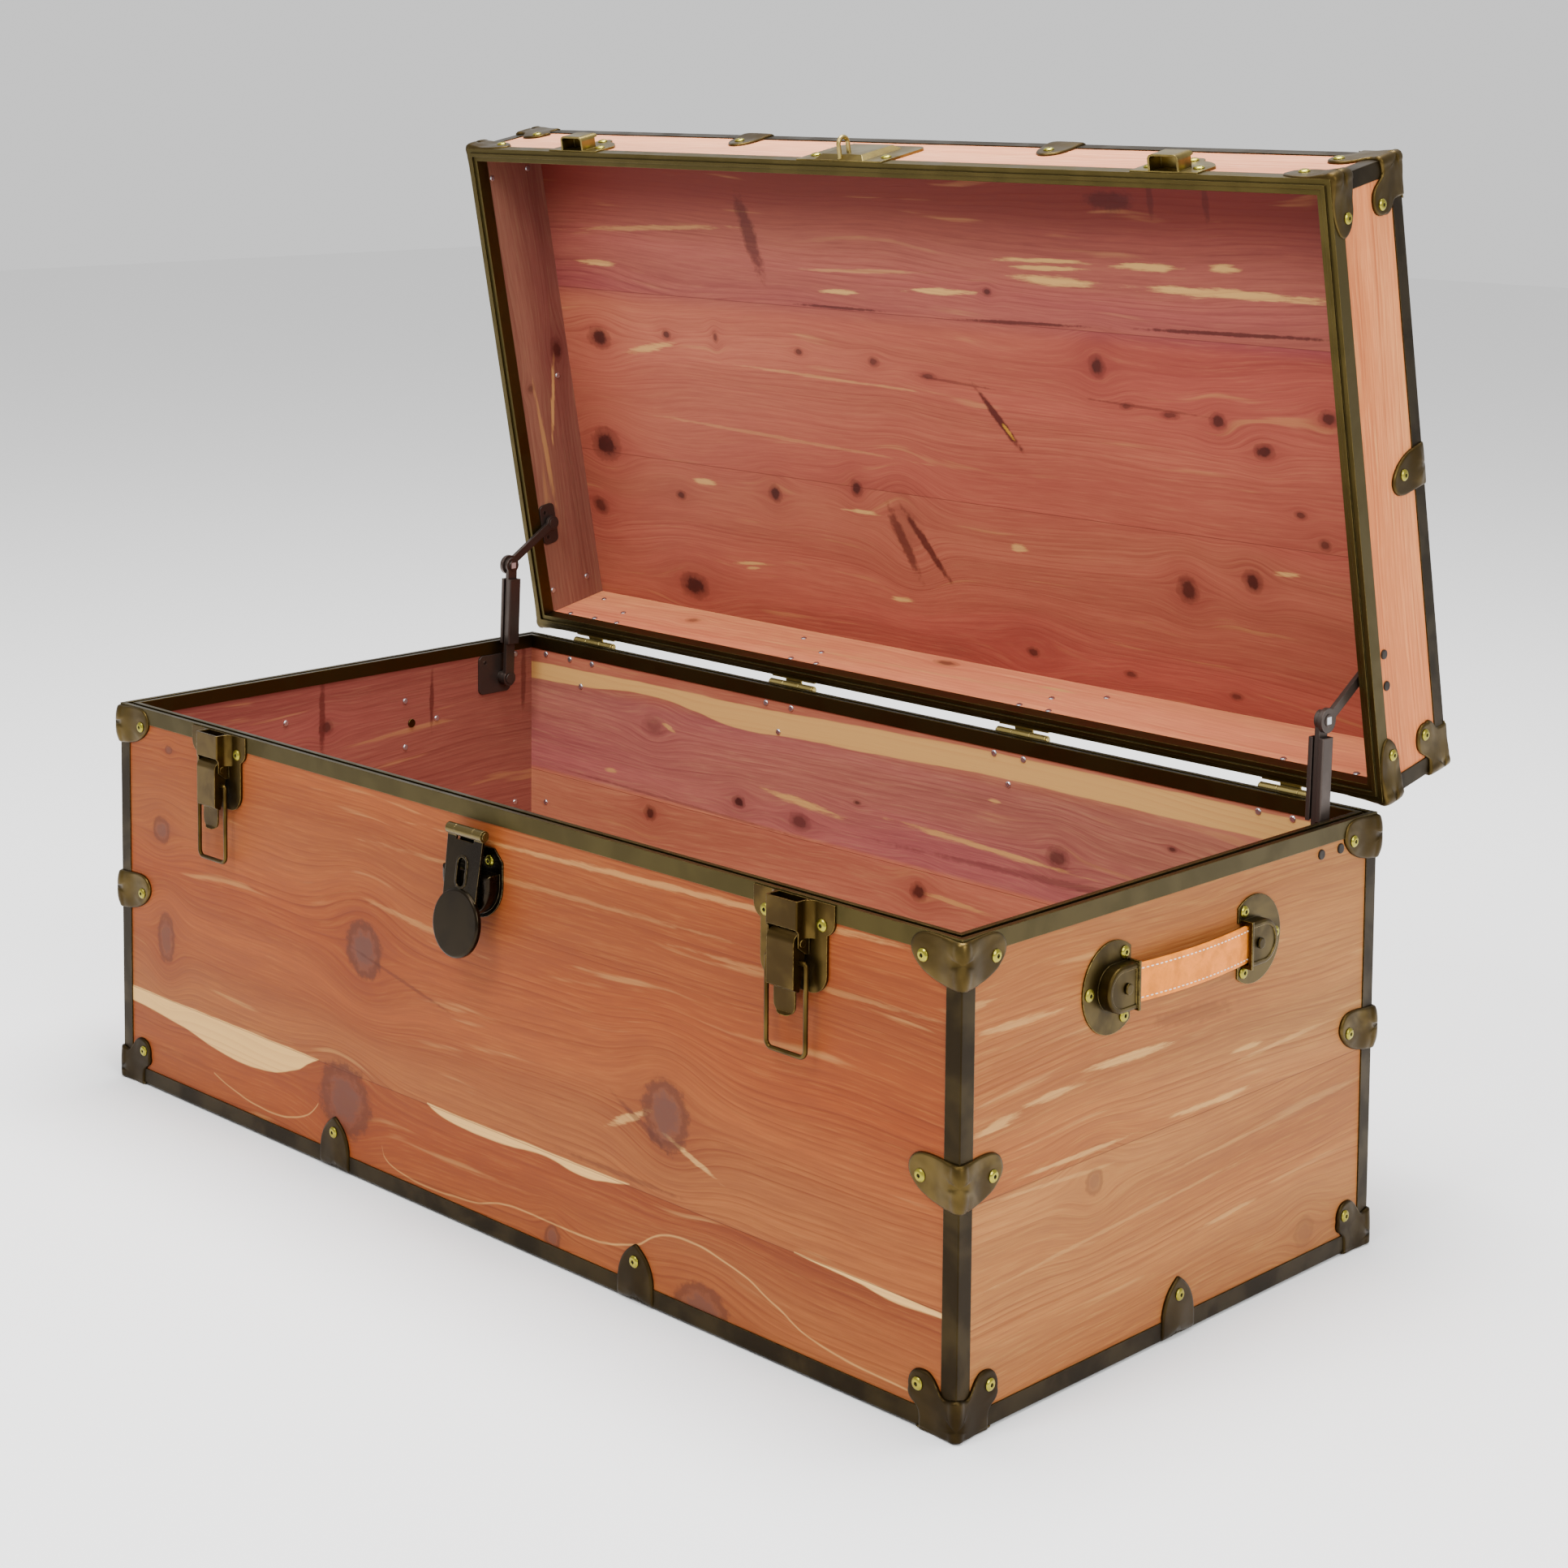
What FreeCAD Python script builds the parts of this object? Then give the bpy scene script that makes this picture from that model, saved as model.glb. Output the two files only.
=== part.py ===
import FreeCAD, Part
import math
import os

# Cedar trunk with a hinged lid, standing open. All sizes are in millimetres.
# X runs along the trunk, Y from front to back, Z up. The origin is on the floor under the middle of the base.

# Case
trunk_length = 914.4
trunk_depth = 457.2
trunk_height = 406.4
rim_height_share = 0.7874016
board = 9.5
lid_open_angle = 79.0
front_seam_share = 0.25
back_seam_share = 0.6
side_seam_share = 0.4625
floor_boards = 3
lid_boards = 3

# Steel trim
binding_sheet = 1.0
binding_leg = 12.7
binding_round = 0.8
fold_round_share = 0.9
cap_sheet = 1.2
rim_gap = 0.3
rim_sheet = 1.0
rim_outer_leg = 12.4
rim_inner_leg = 12.0
rim_web = 3.0
groove_width = 4.0
groove_depth = 2.0
tongue_width = 3.0
tongue_height = 1.6
overrun = 2.0

# Rivets
rivet_head_radius = 4.3
rivet_head_height = 1.8
rivet_dimple_radius = 1.4
rivet_shank_radius = 1.6
rivet_tail_radius = 2.6
rivet_tail_height = 1.1
rivet_dome_share = 0.8
rivet_tail_share = 0.75
rivet_row_drop = 16.0
corner_rivet_inset = 30.0

# Corner caps and clamps
heart_reach = 40.6
heart_height = 32.0
heart_rivet_drop = 14.5
lid_rim_cap_reach = 44.0
lid_rim_cap_drop = 24.0
foot_cap_reach = 39.0
foot_cap_height = 39.0
foot_cap_rivet_height = 29.0
foot_cap_sole = 31.0
foot_cap_sole_round = 9.0
edge_clamp_level_share = 0.5109375
bottom_clamp_width = 36.0
bottom_clamp_height = 41.0
bottom_clamp_sole = 22.0
bottom_clamp_place_share = 0.369641
lid_clamp_place_share = 0.365267

# Hinges
hinge_end_inset = 78.2
hinge_inner_share = 0.33509235
hinge_axis_behind = 7.5
hinge_axis_below = 1.5
hinge_width = 50.0
hinge_sheet = 1.4
knuckle_radius = 3.6
knuckle_bore = 1.55
hinge_pin_radius = 1.5
knuckle_gap = 0.3
middle_knuckle_width = 18.0
hinge_rivet_spread = 15.0
hinge_rivet_step = 23.0
hinge_point_round = 9.0

# Draw latches
latch_end_inset = 140.2
latch_sheet = 1.2
latch_wing_half = 36.0
latch_wing_height = 21.0
latch_body_half = 29.5
latch_height = 61.0
latch_corner = 9.0
latch_foot_round = 14.0
latch_top_drop = 1.0
latch_rivet_spread = 25.0
housing_half = 14.0
housing_standoff = 14.0
housing_wall = 1.2
housing_face_height = 18.8
housing_cheek_height = 36.0
housing_cheek_share = 0.6
housing_flare = 6.0
lever_half = 12.0
lever_sheet = 1.2
lever_round = 6.2
lever_face_height = 30.0
lever_slope_height = 2.5
lever_tongue_half = 9.6
lever_tongue_height = 17.0
lever_tongue_round = 7.5
lever_tongue_setback = 4.6
lever_lip = 2.0
lever_side_back = 4.0
lever_pin_drop = 29.0
lever_pin_standoff = 8.6
lever_pin_radius = 1.6
lever_pin_bore = 1.65
lever_pin_head_radius = 2.6
lever_pin_head = 0.8
bail_wire = 3.3
bail_pivot_drop = 42.0
bail_pivot_standoff = 8.6
bail_half = 17.5
bail_length = 62.0
bail_corner = 5.0
bail_bore_clearance = 0.05
bail_end_reach = 2.0

# Lid catches
catch_half = 30.0
catch_height = 44.0
catch_lift = 1.5
catch_hook_half = 13.6
catch_hook_wall = 1.6
catch_hook_round = 4.5
catch_lip_standoff = 14.5
catch_lip_rise = 3.4
catch_face_height = 16.0
catch_seat_clearance = 0.4
catch_top_rivet = 39.0
catch_rivet_spread = 22.0
catch_rivet_rise = 15.0
catch_shoulder_share = 0.62
catch_point_share = 0.4

# Hasp and lock
lock_plate_half = 29.0
lock_plate_top = 30.0
lock_plate_height = 54.0
lock_plate_shoulder = 9.0
lock_rivet_spread = 15.0
lock_rivet_drop = 40.0
lock_dome_half = 26.0
lock_dome_drop = 48.0
lock_dome_height = 33.0
lock_dome_standoff = 12.6
lock_dome_round = 3.0
hasp_pin_drop = 20.0
hasp_pin_standoff = 10.0
hasp_half = 19.5
hasp_sheet = 2.0
hasp_tilt = 8.0
hasp_knuckle_radius = 4.2
hasp_pin_radius = 1.8
hasp_pin_bore = 1.85
hasp_tab_half = 9.7
hasp_window_half = 10.0
hasp_window_height = 6.5
hasp_disc_radius = 25.0
hasp_disc_drop = 66.0
hasp_disc_rise = 2.0
hasp_disc_round = 1.9
hasp_foot_half = 18.0
hasp_slot_half = 4.4
hasp_slot_top = 18.5
hasp_slot_length = 21.0
hasp_slot_rim = 1.6
hasp_slot_rim_height = 0.8
staple_plate_half = 46.0
staple_plate_height = 57.4
staple_plate_lift = 0.6
staple_rivet_spread = 38.0
staple_boss_half = 26.0
staple_boss_height = 48.0
staple_boss_standoff = 6.0
staple_boss_slope = 5.0
staple_wire = 3.6
staple_rise = 9.0
staple_spacing = 11.0
staple_reach = 19.0

# Handles
handle_drop = 62.5
handle_loop_place = 79.0
handle_flange_radius = 31.0
handle_flange_cut = 19.0
handle_rivet_circle = 24.5
handle_sheet = 1.3
handle_shell_half = 15.5
handle_shell_standoff = 10.5
handle_shell_wall = 1.5
handle_ridge = 3.5
handle_recess = 0.7
handle_bead = 1.0
handle_shell_mouth = 17.0
handle_crown_share = 1.2
handle_stud_share = 0.9
strap_width = 26.0
strap_thickness = 3.6
strap_end_standoff = 5.5
strap_bow = 5.0
strap_end_past_stud = 9.0
stud_radius = 2.2
stud_head_radius = 3.8
stud_head_height = 1.2
stud_round_share = 0.7

# Lid stays
stay_base_inset = 46.6
stay_base_drop = 35.0
stay_lid_inset = 95.3
stay_lid_rise = 22.5
stay_bar_inset = 9.5
stay_bar = 4.0
stay_sleeve_side = 13.0
stay_sleeve_wall = 1.4
stay_sleeve_slot = 5.5
stay_sleeve_start = 33.0
stay_sleeve_end_gap = 12.5
stay_slide_gap = 0.05
stay_eye_radius = 7.0
stay_elbow_eye_radius = 9.0
stay_upper_width = 7.2
stay_upper_sheet = 3.4
stay_layer_gap = 0.5
stay_pin_radius = 2.5
stay_pin_bore = 2.56
stay_open_pivot_bore = 2.8
stay_head_radius = 4.6
stay_head_height = 1.2
stay_bracket_sheet = 2.0
stay_bracket_width = 38.0
stay_base_bracket_height = 36.0
stay_base_bracket_inset = 56.4
stay_lid_bracket_height = 18.0
stay_lid_bracket_inset = 94.1
stay_bracket_round = 5.0
stay_screw_spread = 12.0
stay_base_screw_drop = 19.0
stay_lid_screw_rise = 18.0
screw_head_radius = 3.6
screw_head_height = 1.4
screw_shank_radius = 1.9

# Derived sizes
half_length = trunk_length / 2
half_depth = trunk_depth / 2
rim_height = trunk_height * rim_height_share
front_seam_height = rim_height * front_seam_share
back_seam_height = rim_height * back_seam_share
side_seam_height = rim_height * side_seam_share
edge_clamp_rivet_level = rim_height * edge_clamp_level_share
bottom_clamp_place = half_length * bottom_clamp_place_share
lid_clamp_place = half_length * lid_clamp_place_share
outer_hinge = half_length - hinge_end_inset
inner_hinge = outer_hinge * hinge_inner_share
hinge_places = (-outer_hinge, -inner_hinge, inner_hinge, outer_hinge)
latch_place = half_length - latch_end_inset
handle_level = rim_height - handle_drop
proud = binding_sheet + cap_sheet
wood_bottom = proud
base_rim_top = rim_height - rim_gap / 2
lid_rim_bottom = rim_height + rim_gap / 2
base_wood_top = base_rim_top - rim_web
lid_wood_bottom = lid_rim_bottom + rim_web
inner_half_length = half_length - board
inner_half_depth = half_depth - board
hinge_y = half_depth + hinge_axis_behind
hinge_z = rim_height - hinge_axis_below
stay_base_y = half_depth - stay_base_inset
stay_base_z = rim_height - stay_base_drop
stay_lid_y = half_depth - stay_lid_inset
stay_lid_z = rim_height + stay_lid_rise
stay_base_bracket_centre = half_depth - stay_base_bracket_inset
stay_lid_bracket_centre = half_depth - stay_lid_bracket_inset
stay_base_screw_level = rim_height - stay_base_screw_drop
stay_lid_screw_level = rim_height + stay_lid_screw_rise
base_rivet_level = rim_height - rivet_row_drop
lid_rivet_level = rim_height + rivet_row_drop

# Outlines as shares of a piece's reach and height. A step of one point is a straight run,
# a step of two points is an arc through the first to the second.
heart_shares = [
    [(0.66, 0.03)], [(0.93, -0.08), (1, -0.34)], [(0.88, -0.6), (0.71, -0.79)],
    [(0.47, -0.9), (0.26, -0.96)], [(0, -1)]]
lid_rim_cap_shares = [
    [(0.5, 0)], [(0.79, 0.17), (1, 0.56)], [(0.84, 0.9), (0.56, 1)], [(0, 1)]]
foot_cap_shares = [
    [(0.76, 0)], [(0.76, 0.27)], [(0.8, 0.38), (0.9, 0.42)], [(1, 0.56), (0.98, 0.68)],
    [(0.86, 0.94), (0.66, 1)], [(0.5, 0.94), (0.38, 0.8)], [(0.28, 0.69), (0.17, 0.66)], [(0, 0.7)]]
bottom_clamp_shares = [
    [(0.5, 0.36)], [(0.36, 0.8), (0, 1)], [(-0.36, 0.8), (-0.5, 0.36)], [(-0.5, 0)]]
hinge_leaf_shares = (0.7, 0.6)
diagonal = math.sqrt(0.5)
arc_share = 1 - diagonal

V = FreeCAD.Vector
UP = V(0, 0, 1)
ALONG = V(1, 0, 0)
SIDES = ("front", "right", "back", "left")
HALF_SPAN = {"front": half_length, "back": half_length, "right": half_depth, "left": half_depth}
SIDE_TURN = {"front": 0, "right": 90, "back": 180, "left": 270}
SIDE_CENTRE = {
    "front": V(0, -half_depth, 0), "right": V(half_length, 0, 0),
    "back": V(0, half_depth, 0), "left": V(-half_length, 0, 0)}


def on_side(shape, side):
    """Move a shape drawn on the front wall, where y = 0 is the wood's face, to the wall of that side."""
    placed = shape.copy()
    placed.rotate(V(0, 0, 0), UP, SIDE_TURN[side])
    placed.translate(SIDE_CENTRE[side])
    return placed


def box(x_low, x_high, y_low, y_high, z_low, z_high):
    return Part.makeBox(x_high - x_low, y_high - y_low, z_high - z_low, V(x_low, y_low, z_low))


def rod(start, end, radius):
    direction = end.sub(start)
    return Part.makeCylinder(radius, direction.Length, start, direction)


def fuse(shapes):
    joined = shapes[0].multiFuse(shapes[1:]) if len(shapes) > 1 else shapes[0]
    return joined.removeSplitter()


def trace(start, steps):
    """A closed wire through points: one point is a straight step, two are an arc's middle and end."""
    edges, here = [], start
    for step in steps:
        if len(step) == 1:
            edges.append(Part.LineSegment(here, step[0]).toShape())
        else:
            edges.append(Part.Arc(here, step[0], step[1]).toShape())
        here = step[-1]
    if here.sub(start).Length > 0:
        edges.append(Part.LineSegment(here, start).toShape())
    return Part.Wire(edges)


def wall_plate(start, steps, off_low, off_high):
    """A plate on the front wall from an outline in (x, z), between two heights off the wood."""
    def at(point):
        return V(point[0], -off_low, point[1])
    wire = trace(at(start), [[at(point) for point in step] for step in steps])
    return Part.Face(wire).extrude(V(0, off_low - off_high, 0))


def scaled(steps, reach, height, x_start=0, z_start=0, x_sign=1):
    return [[(x_start + x_sign * share[0] * reach, z_start + share[1] * height) for share in step]
            for step in steps]


def side_profile(start, steps, x_low, x_high):
    """A solid from an outline in (height off the wood, z), run along x on the front wall."""
    def at(point):
        return V(x_low, -point[0], point[1])
    wire = trace(at(start), [[at(point) for point in step] for step in steps])
    return Part.Face(wire).extrude(V(x_high - x_low, 0, 0))


def mirror_x(shape):
    return shape.mirror(V(0, 0, 0), ALONG)


def open_lid(shape):
    """Turn a piece of the closed lid about the hinge line to where it stands open."""
    turned = shape.copy()
    turned.rotate(V(0, hinge_y, hinge_z), ALONG, -lid_open_angle)
    return turned


def solids_of(shape):
    return list(shape.Solids)


def cut_all(shape, tools):
    """Cut only with the tools whose boxes reach the shape."""
    near = [tool for tool in tools if shape.BoundBox.intersect(tool.BoundBox)]
    return shape.cut(Part.makeCompound(near)) if near else shape


# Rivets: drawn along -Y at the origin, then moved to their wall
def rivet_solid(seat, wall):
    """A tubular rivet: domed head with a dimple outside, shank, and clinched end inside."""
    top = seat + rivet_head_height
    dimple = rivet_dimple_radius
    edge = rivet_head_height / 3
    inside = wall + rivet_tail_height
    points = [
        V(0, -(top - rivet_head_height / 2), 0), V(dimple / 2, -(top - rivet_head_height / 2), 0),
        V(dimple, -top, 0)]
    wire = trace(points[0], [
        [points[1]], [points[2]],
        [V(rivet_head_radius * rivet_dome_share, -(seat + rivet_head_height * rivet_dome_share), 0),
         V(rivet_head_radius, -(seat + edge), 0)],
        [V(rivet_head_radius, -seat, 0)], [V(rivet_shank_radius, -seat, 0)],
        [V(rivet_shank_radius, wall, 0)], [V(rivet_tail_radius, wall, 0)],
        [V(rivet_tail_radius, inside - rivet_tail_height / 2, 0)],
        [V(rivet_tail_radius * rivet_tail_share, inside, 0)], [V(0, inside, 0)]])
    return Part.Face(wire).revolve(V(0, 0, 0), V(0, 1, 0), 360)


def screw_solid(seat, wall):
    """A dark round-headed screw that holds a stay bracket from outside."""
    head = rod(V(0, -seat, 0), V(0, -seat - screw_head_height, 0), screw_head_radius)
    head = head.makeFillet(screw_head_height / 2, [head.Edges[0]])
    return fuse([head, rod(V(0, -seat, 0), V(0, wall, 0), screw_shank_radius)])


def rivet_hole(radius, seat, wall):
    return rod(V(0, -seat, 0), V(0, wall, 0), radius)


def placed_at(shape, side, x, z):
    return on_side(shape.translated(V(x, 0, z)), side)


# Where the rivets are: side, place along the wall, height, height of the seat off the wood
def corner_rivets(level):
    spots = []
    for side in SIDES:
        inset = HALF_SPAN[side] - corner_rivet_inset
        spots += [(side, -inset, level, proud), (side, inset, level, proud)]
    return spots


def clamp_places(place):
    return [("front", -place), ("front", place), ("back", -place), ("back", place),
            ("left", 0), ("right", 0)]


base_spots = corner_rivets(base_rivet_level) + corner_rivets(edge_clamp_rivet_level)
base_spots += corner_rivets(foot_cap_rivet_height)
base_spots += [(side, x, foot_cap_rivet_height, proud) for side, x in clamp_places(bottom_clamp_place)]
for hinge_x in hinge_places:
    seat = binding_sheet + hinge_sheet
    base_spots += [("back", hinge_x + s * hinge_rivet_spread, base_rivet_level, seat) for s in (-1, 1)]
    base_spots.append(("back", hinge_x, base_rivet_level - hinge_rivet_step, seat))
for latch_x in (-latch_place, latch_place):
    seat = binding_sheet + latch_sheet
    base_spots += [("front", latch_x + s * latch_rivet_spread, base_rivet_level, seat) for s in (-1, 1)]
base_spots += [("front", s * lock_rivet_spread, rim_height - lock_rivet_drop, latch_sheet) for s in (-1, 1)]
loop_angles = (0, 120, 240)
for side in ("left", "right"):
    for end in (-1, 1):
        for angle in loop_angles:
            x = end * (handle_loop_place + handle_rivet_circle * math.cos(math.radians(angle)))
            z = handle_level + handle_rivet_circle * math.sin(math.radians(angle))
            base_spots.append((side, x, z, handle_sheet))

lid_corner_level = trunk_height - foot_cap_rivet_height + proud
lid_spots = corner_rivets(lid_rivet_level) + corner_rivets(lid_corner_level)
lid_spots += [(side, x, lid_corner_level, proud) for side, x in clamp_places(lid_clamp_place)]
for hinge_x in hinge_places:
    seat = binding_sheet + hinge_sheet
    lid_spots += [("back", hinge_x + s * hinge_rivet_spread, lid_rivet_level, seat) for s in (-1, 1)]
    lid_spots.append(("back", hinge_x, lid_rivet_level + hinge_rivet_step, seat))
for latch_x in (-latch_place, latch_place):
    seat = binding_sheet + latch_sheet
    lid_spots += [("front", latch_x + s * catch_rivet_spread, rim_height + catch_rivet_rise, seat)
                  for s in (-1, 1)]
    lid_spots.append(("front", latch_x, rim_height + catch_top_rivet, seat))
lid_spots += [("front", s * staple_rivet_spread, rim_height + rivet_row_drop, binding_sheet + latch_sheet)
              for s in (-1, 1)]


def rivets_at(spots):
    return [placed_at(rivet_solid(seat, board), side, x, z) for side, x, z, seat in spots]


def holes_at(spots, off):
    return [placed_at(rivet_hole(rivet_shank_radius, off, board), side, x, z)
            for side, x, z, seat in spots]


hole_reach = max(handle_shell_standoff, proud) + overrun
base_holes = holes_at(base_spots, hole_reach)
lid_holes = holes_at(lid_spots, hole_reach)


def stay_screw_places(level, y_centre):
    """The four screws of the two stays: the right wall's x runs with y, the left wall's against it."""
    places = []
    for side, sign in (("right", 1), ("left", -1)):
        for step in (-1, 1):
            places.append((side, sign * (y_centre + step * stay_screw_spread), level))
    return places


base_screws = stay_screw_places(stay_base_screw_level, stay_base_bracket_centre)
lid_screws = stay_screw_places(stay_lid_screw_level, stay_lid_bracket_centre)


def screws_at(places):
    return [placed_at(screw_solid(0, board + stay_bracket_sheet), side, x, z) for side, x, z in places]


def screw_holes_at(places):
    return [placed_at(rivet_hole(screw_shank_radius, overrun, board + stay_bracket_sheet), side, x, z)
            for side, x, z in places]


base_screw_holes = screw_holes_at(base_screws)
lid_screw_holes = screw_holes_at(lid_screws)


# Boards
def wall_boards(side, z_low, z_high, seams, holes):
    """A wall of boards glued edge to edge; the end walls stand between the front and the back."""
    half = HALF_SPAN[side] - (board if side in ("left", "right") else 0)
    levels = [z_low] + list(seams) + [z_high]
    planks = []
    for low, high in zip(levels[:-1], levels[1:]):
        plank = on_side(box(-half, half, 0, board, low, high), side)
        planks.append(cut_all(plank, holes))
    return Part.makeCompound(planks)


def level_boards(count, z_low, z_high, holes):
    width = 2 * inner_half_depth / count
    planks = []
    for index in range(count):
        y_low = -inner_half_depth + index * width
        plank = box(-inner_half_length, inner_half_length, y_low, y_low + width, z_low, z_high)
        planks.append(cut_all(plank, holes))
    return Part.makeCompound(planks)


def base_panel(side):
    seam = {"front": front_seam_height, "back": back_seam_height}.get(side, side_seam_height)
    studs = stud_holes() if side in ("left", "right") else []
    return wall_boards(side, wood_bottom, base_wood_top, [seam], base_holes + base_screw_holes + studs)


def lid_panel(side):
    return open_lid(wall_boards(side, lid_wood_bottom, trunk_height, [], lid_holes + lid_screw_holes))


# Rim channels
def mitred(shape, side, inward):
    """Trim a length that runs along a wall at 45 degrees at both ends."""
    outer = HALF_SPAN[side] + rim_sheet
    inner = HALF_SPAN[side] - inward
    tall = trunk_height
    corners = [V(-outer, -rim_sheet, 0), V(outer, -rim_sheet, 0), V(inner, inward, 0), V(-inner, inward, 0)]
    prism = Part.Face(Part.makePolygon(corners + corners[:1])).extrude(V(0, 0, tall))
    return shape.common(prism)


def rim_length(side, edge, up):
    """One length of folded rim: two legs over the boards' edge and a web with a groove or a tongue."""
    half = HALF_SPAN[side] + rim_sheet
    inward = board + rim_sheet
    middle = board / 2
    web_end = edge + up * rim_web

    def span(y_low, y_high, z_one, z_two):
        return box(-half, half, y_low, y_high, min(z_one, z_two), max(z_one, z_two))
    pieces = [
        span(-rim_sheet, inward, edge, web_end),
        span(-rim_sheet, 0, web_end, edge + up * rim_outer_leg),
        span(board, inward, web_end, edge + up * rim_inner_leg)]
    body = fuse(pieces)
    if up < 0:
        half_groove = groove_width / 2
        body = body.cut(span(middle - half_groove, middle + half_groove, edge - groove_depth, edge + overrun))
    else:
        half_tongue = tongue_width / 2
        body = fuse([body, span(middle - half_tongue, middle + half_tongue, edge - tongue_height, edge)])
    return on_side(mitred(body, side, inward), side)


def base_rim():
    return Part.makeCompound([cut_all(rim_length(side, base_rim_top, -1), base_holes) for side in SIDES])


def lid_rim():
    return Part.makeCompound([cut_all(rim_length(side, lid_rim_bottom, 1), lid_holes) for side in SIDES])


# Angle bindings
def angle_strip(length):
    """An angle along +Z with its heel at the origin, legs along +X and +Y, and a rounded heel."""
    leg = binding_leg - binding_sheet
    skin = binding_sheet
    nose = binding_round
    start = V(leg, -skin, 0)
    wire = trace(start, [
        [V(leg, 0, 0)], [V(0, 0, 0)], [V(0, leg, 0)], [V(-skin, leg, 0)], [V(-skin, nose - skin, 0)],
        [V(nose * arc_share - skin, nose * arc_share - skin, 0), V(nose - skin, -skin, 0)]])
    return Part.Face(wire).extrude(V(0, 0, length))


def corner_strips(z_low, z_high):
    strips = []
    for x_sign in (-1, 1):
        for y_sign in (-1, 1):
            strip = angle_strip(z_high - z_low)
            strip.translate(V(-half_length, -half_depth, z_low))
            if x_sign > 0:
                strip = strip.mirror(V(0, 0, 0), ALONG)
            if y_sign > 0:
                strip = strip.mirror(V(0, 0, 0), V(0, 1, 0))
            strips.append(strip)
    return strips


def level_strips(z_wood, up):
    """The four angles round the bottom or the top edges; the end ones stop at the long ones' legs."""
    strips = []
    for side in SIDES:
        if side in ("front", "back"):
            half = HALF_SPAN[side] + binding_sheet
        else:
            half = HALF_SPAN[side] - binding_leg
        strip = angle_strip(2 * half)
        strip.rotate(V(0, 0, 0), V(1, 1, 1), 120)
        strip.translate(V(-half, 0, 0))
        if up < 0:
            strip = strip.mirror(V(0, 0, 0), UP)
        strip.translate(V(0, 0, z_wood))
        strips.append(on_side(strip, side))
    return strips


# Caps and clamps
def corner_plate(steps, z_start, side, end):
    """A plate on one wall that starts just past the corner at that end of the wall."""
    half = HALF_SPAN[side]
    corner = end * (half + proud)
    reach_steps = [[(end * half - end * point[0], z_start + point[1]) for point in step] for step in steps]
    outline = [[(end * half, z_start)]] + reach_steps + [[(corner, reach_steps[-1][-1][1])]]
    return on_side(wall_plate((corner, z_start), outline, 0, proud), side)


def two_face_cap(index, steps, z_start):
    """A cap folded round the vertical edge between a wall and the next one."""
    here, following = SIDES[index], SIDES[(index + 1) % len(SIDES)]
    return fuse([corner_plate(steps, z_start, here, 1), corner_plate(steps, z_start, following, -1)])


def sizes(steps, reach, height):
    return [[(point[0] * reach, point[1] * height) for point in step] for step in steps]


def heart_steps():
    return sizes(heart_shares, heart_reach, heart_height)


def rim_caps():
    top = base_rivet_level + heart_rivet_drop
    return [two_face_cap(index, heart_steps(), top) for index in range(len(SIDES))]


def lid_rim_caps():
    steps = sizes(lid_rim_cap_shares, lid_rim_cap_reach, lid_rim_cap_drop)
    return [two_face_cap(index, steps, lid_rim_bottom + rim_gap) for index in range(len(SIDES))]


def edge_clamps():
    top = edge_clamp_rivet_level + heart_rivet_drop
    return [two_face_cap(index, heart_steps(), top) for index in range(len(SIDES))]


def three_face_caps():
    """Bottom corner caps: an eared plate on each wall and a sole under the corner."""
    steps = sizes(foot_cap_shares, foot_cap_reach, foot_cap_height)
    caps = []
    for index in range(len(SIDES)):
        here, following = SIDES[index], SIDES[(index + 1) % len(SIDES)]
        half = HALF_SPAN[here]
        outer, inner = half + proud, half - foot_cap_sole
        depth = foot_cap_sole
        nose = foot_cap_sole_round
        start = V(outer, -proud, 0)
        wire = trace(start, [
            [V(outer, depth, 0)], [V(inner + nose, depth, 0)],
            [V(inner + nose * arc_share, depth - nose * arc_share, 0), V(inner, depth - nose, 0)],
            [V(inner, -proud, 0)]])
        sole = on_side(Part.Face(wire).extrude(V(0, 0, proud)), here)
        walls = [corner_plate(steps, 0, here, 1), corner_plate(steps, 0, following, -1)]
        caps.append(fuse(walls + [sole]))
    return caps


def bottom_clamps():
    clamps = []
    for side, x in clamp_places(bottom_clamp_place):
        width = bottom_clamp_width
        steps = scaled(bottom_clamp_shares, width, bottom_clamp_height, x, 0)
        tab = wall_plate((x - width / 2, 0), [[(x + width / 2, 0)]] + steps, 0, proud)
        sole = box(x - width / 2, x + width / 2, -proud, bottom_clamp_sole, 0, proud)
        clamps.append(on_side(fuse([tab, sole]), side))
    return clamps


def lid_clamps():
    """Clamps of the heart shape folded over the lid's top edges: one lobe on the wall, one on the top."""
    clamps = []
    steps = heart_steps()
    for side, x in clamp_places(lid_clamp_place):
        near = x + heart_rivet_drop
        far = near + steps[-1][-1][1]
        top = trunk_height + proud
        down = [[(near + point[1], trunk_height - point[0]) for point in step] for step in steps]
        tab = wall_plate((near, top), [[(near, trunk_height)]] + down + [[(far, top)]], 0, proud)
        over = [[V(near + point[1], point[0], trunk_height) for point in step] for step in steps]
        wire = trace(V(near, -proud, trunk_height), [[V(near, 0, trunk_height)]] + over
                     + [[V(far, -proud, trunk_height)]])
        leaf = Part.Face(wire).extrude(V(0, 0, proud))
        clamps.append(on_side(fuse([tab, leaf]), side))
    return clamps


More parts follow.
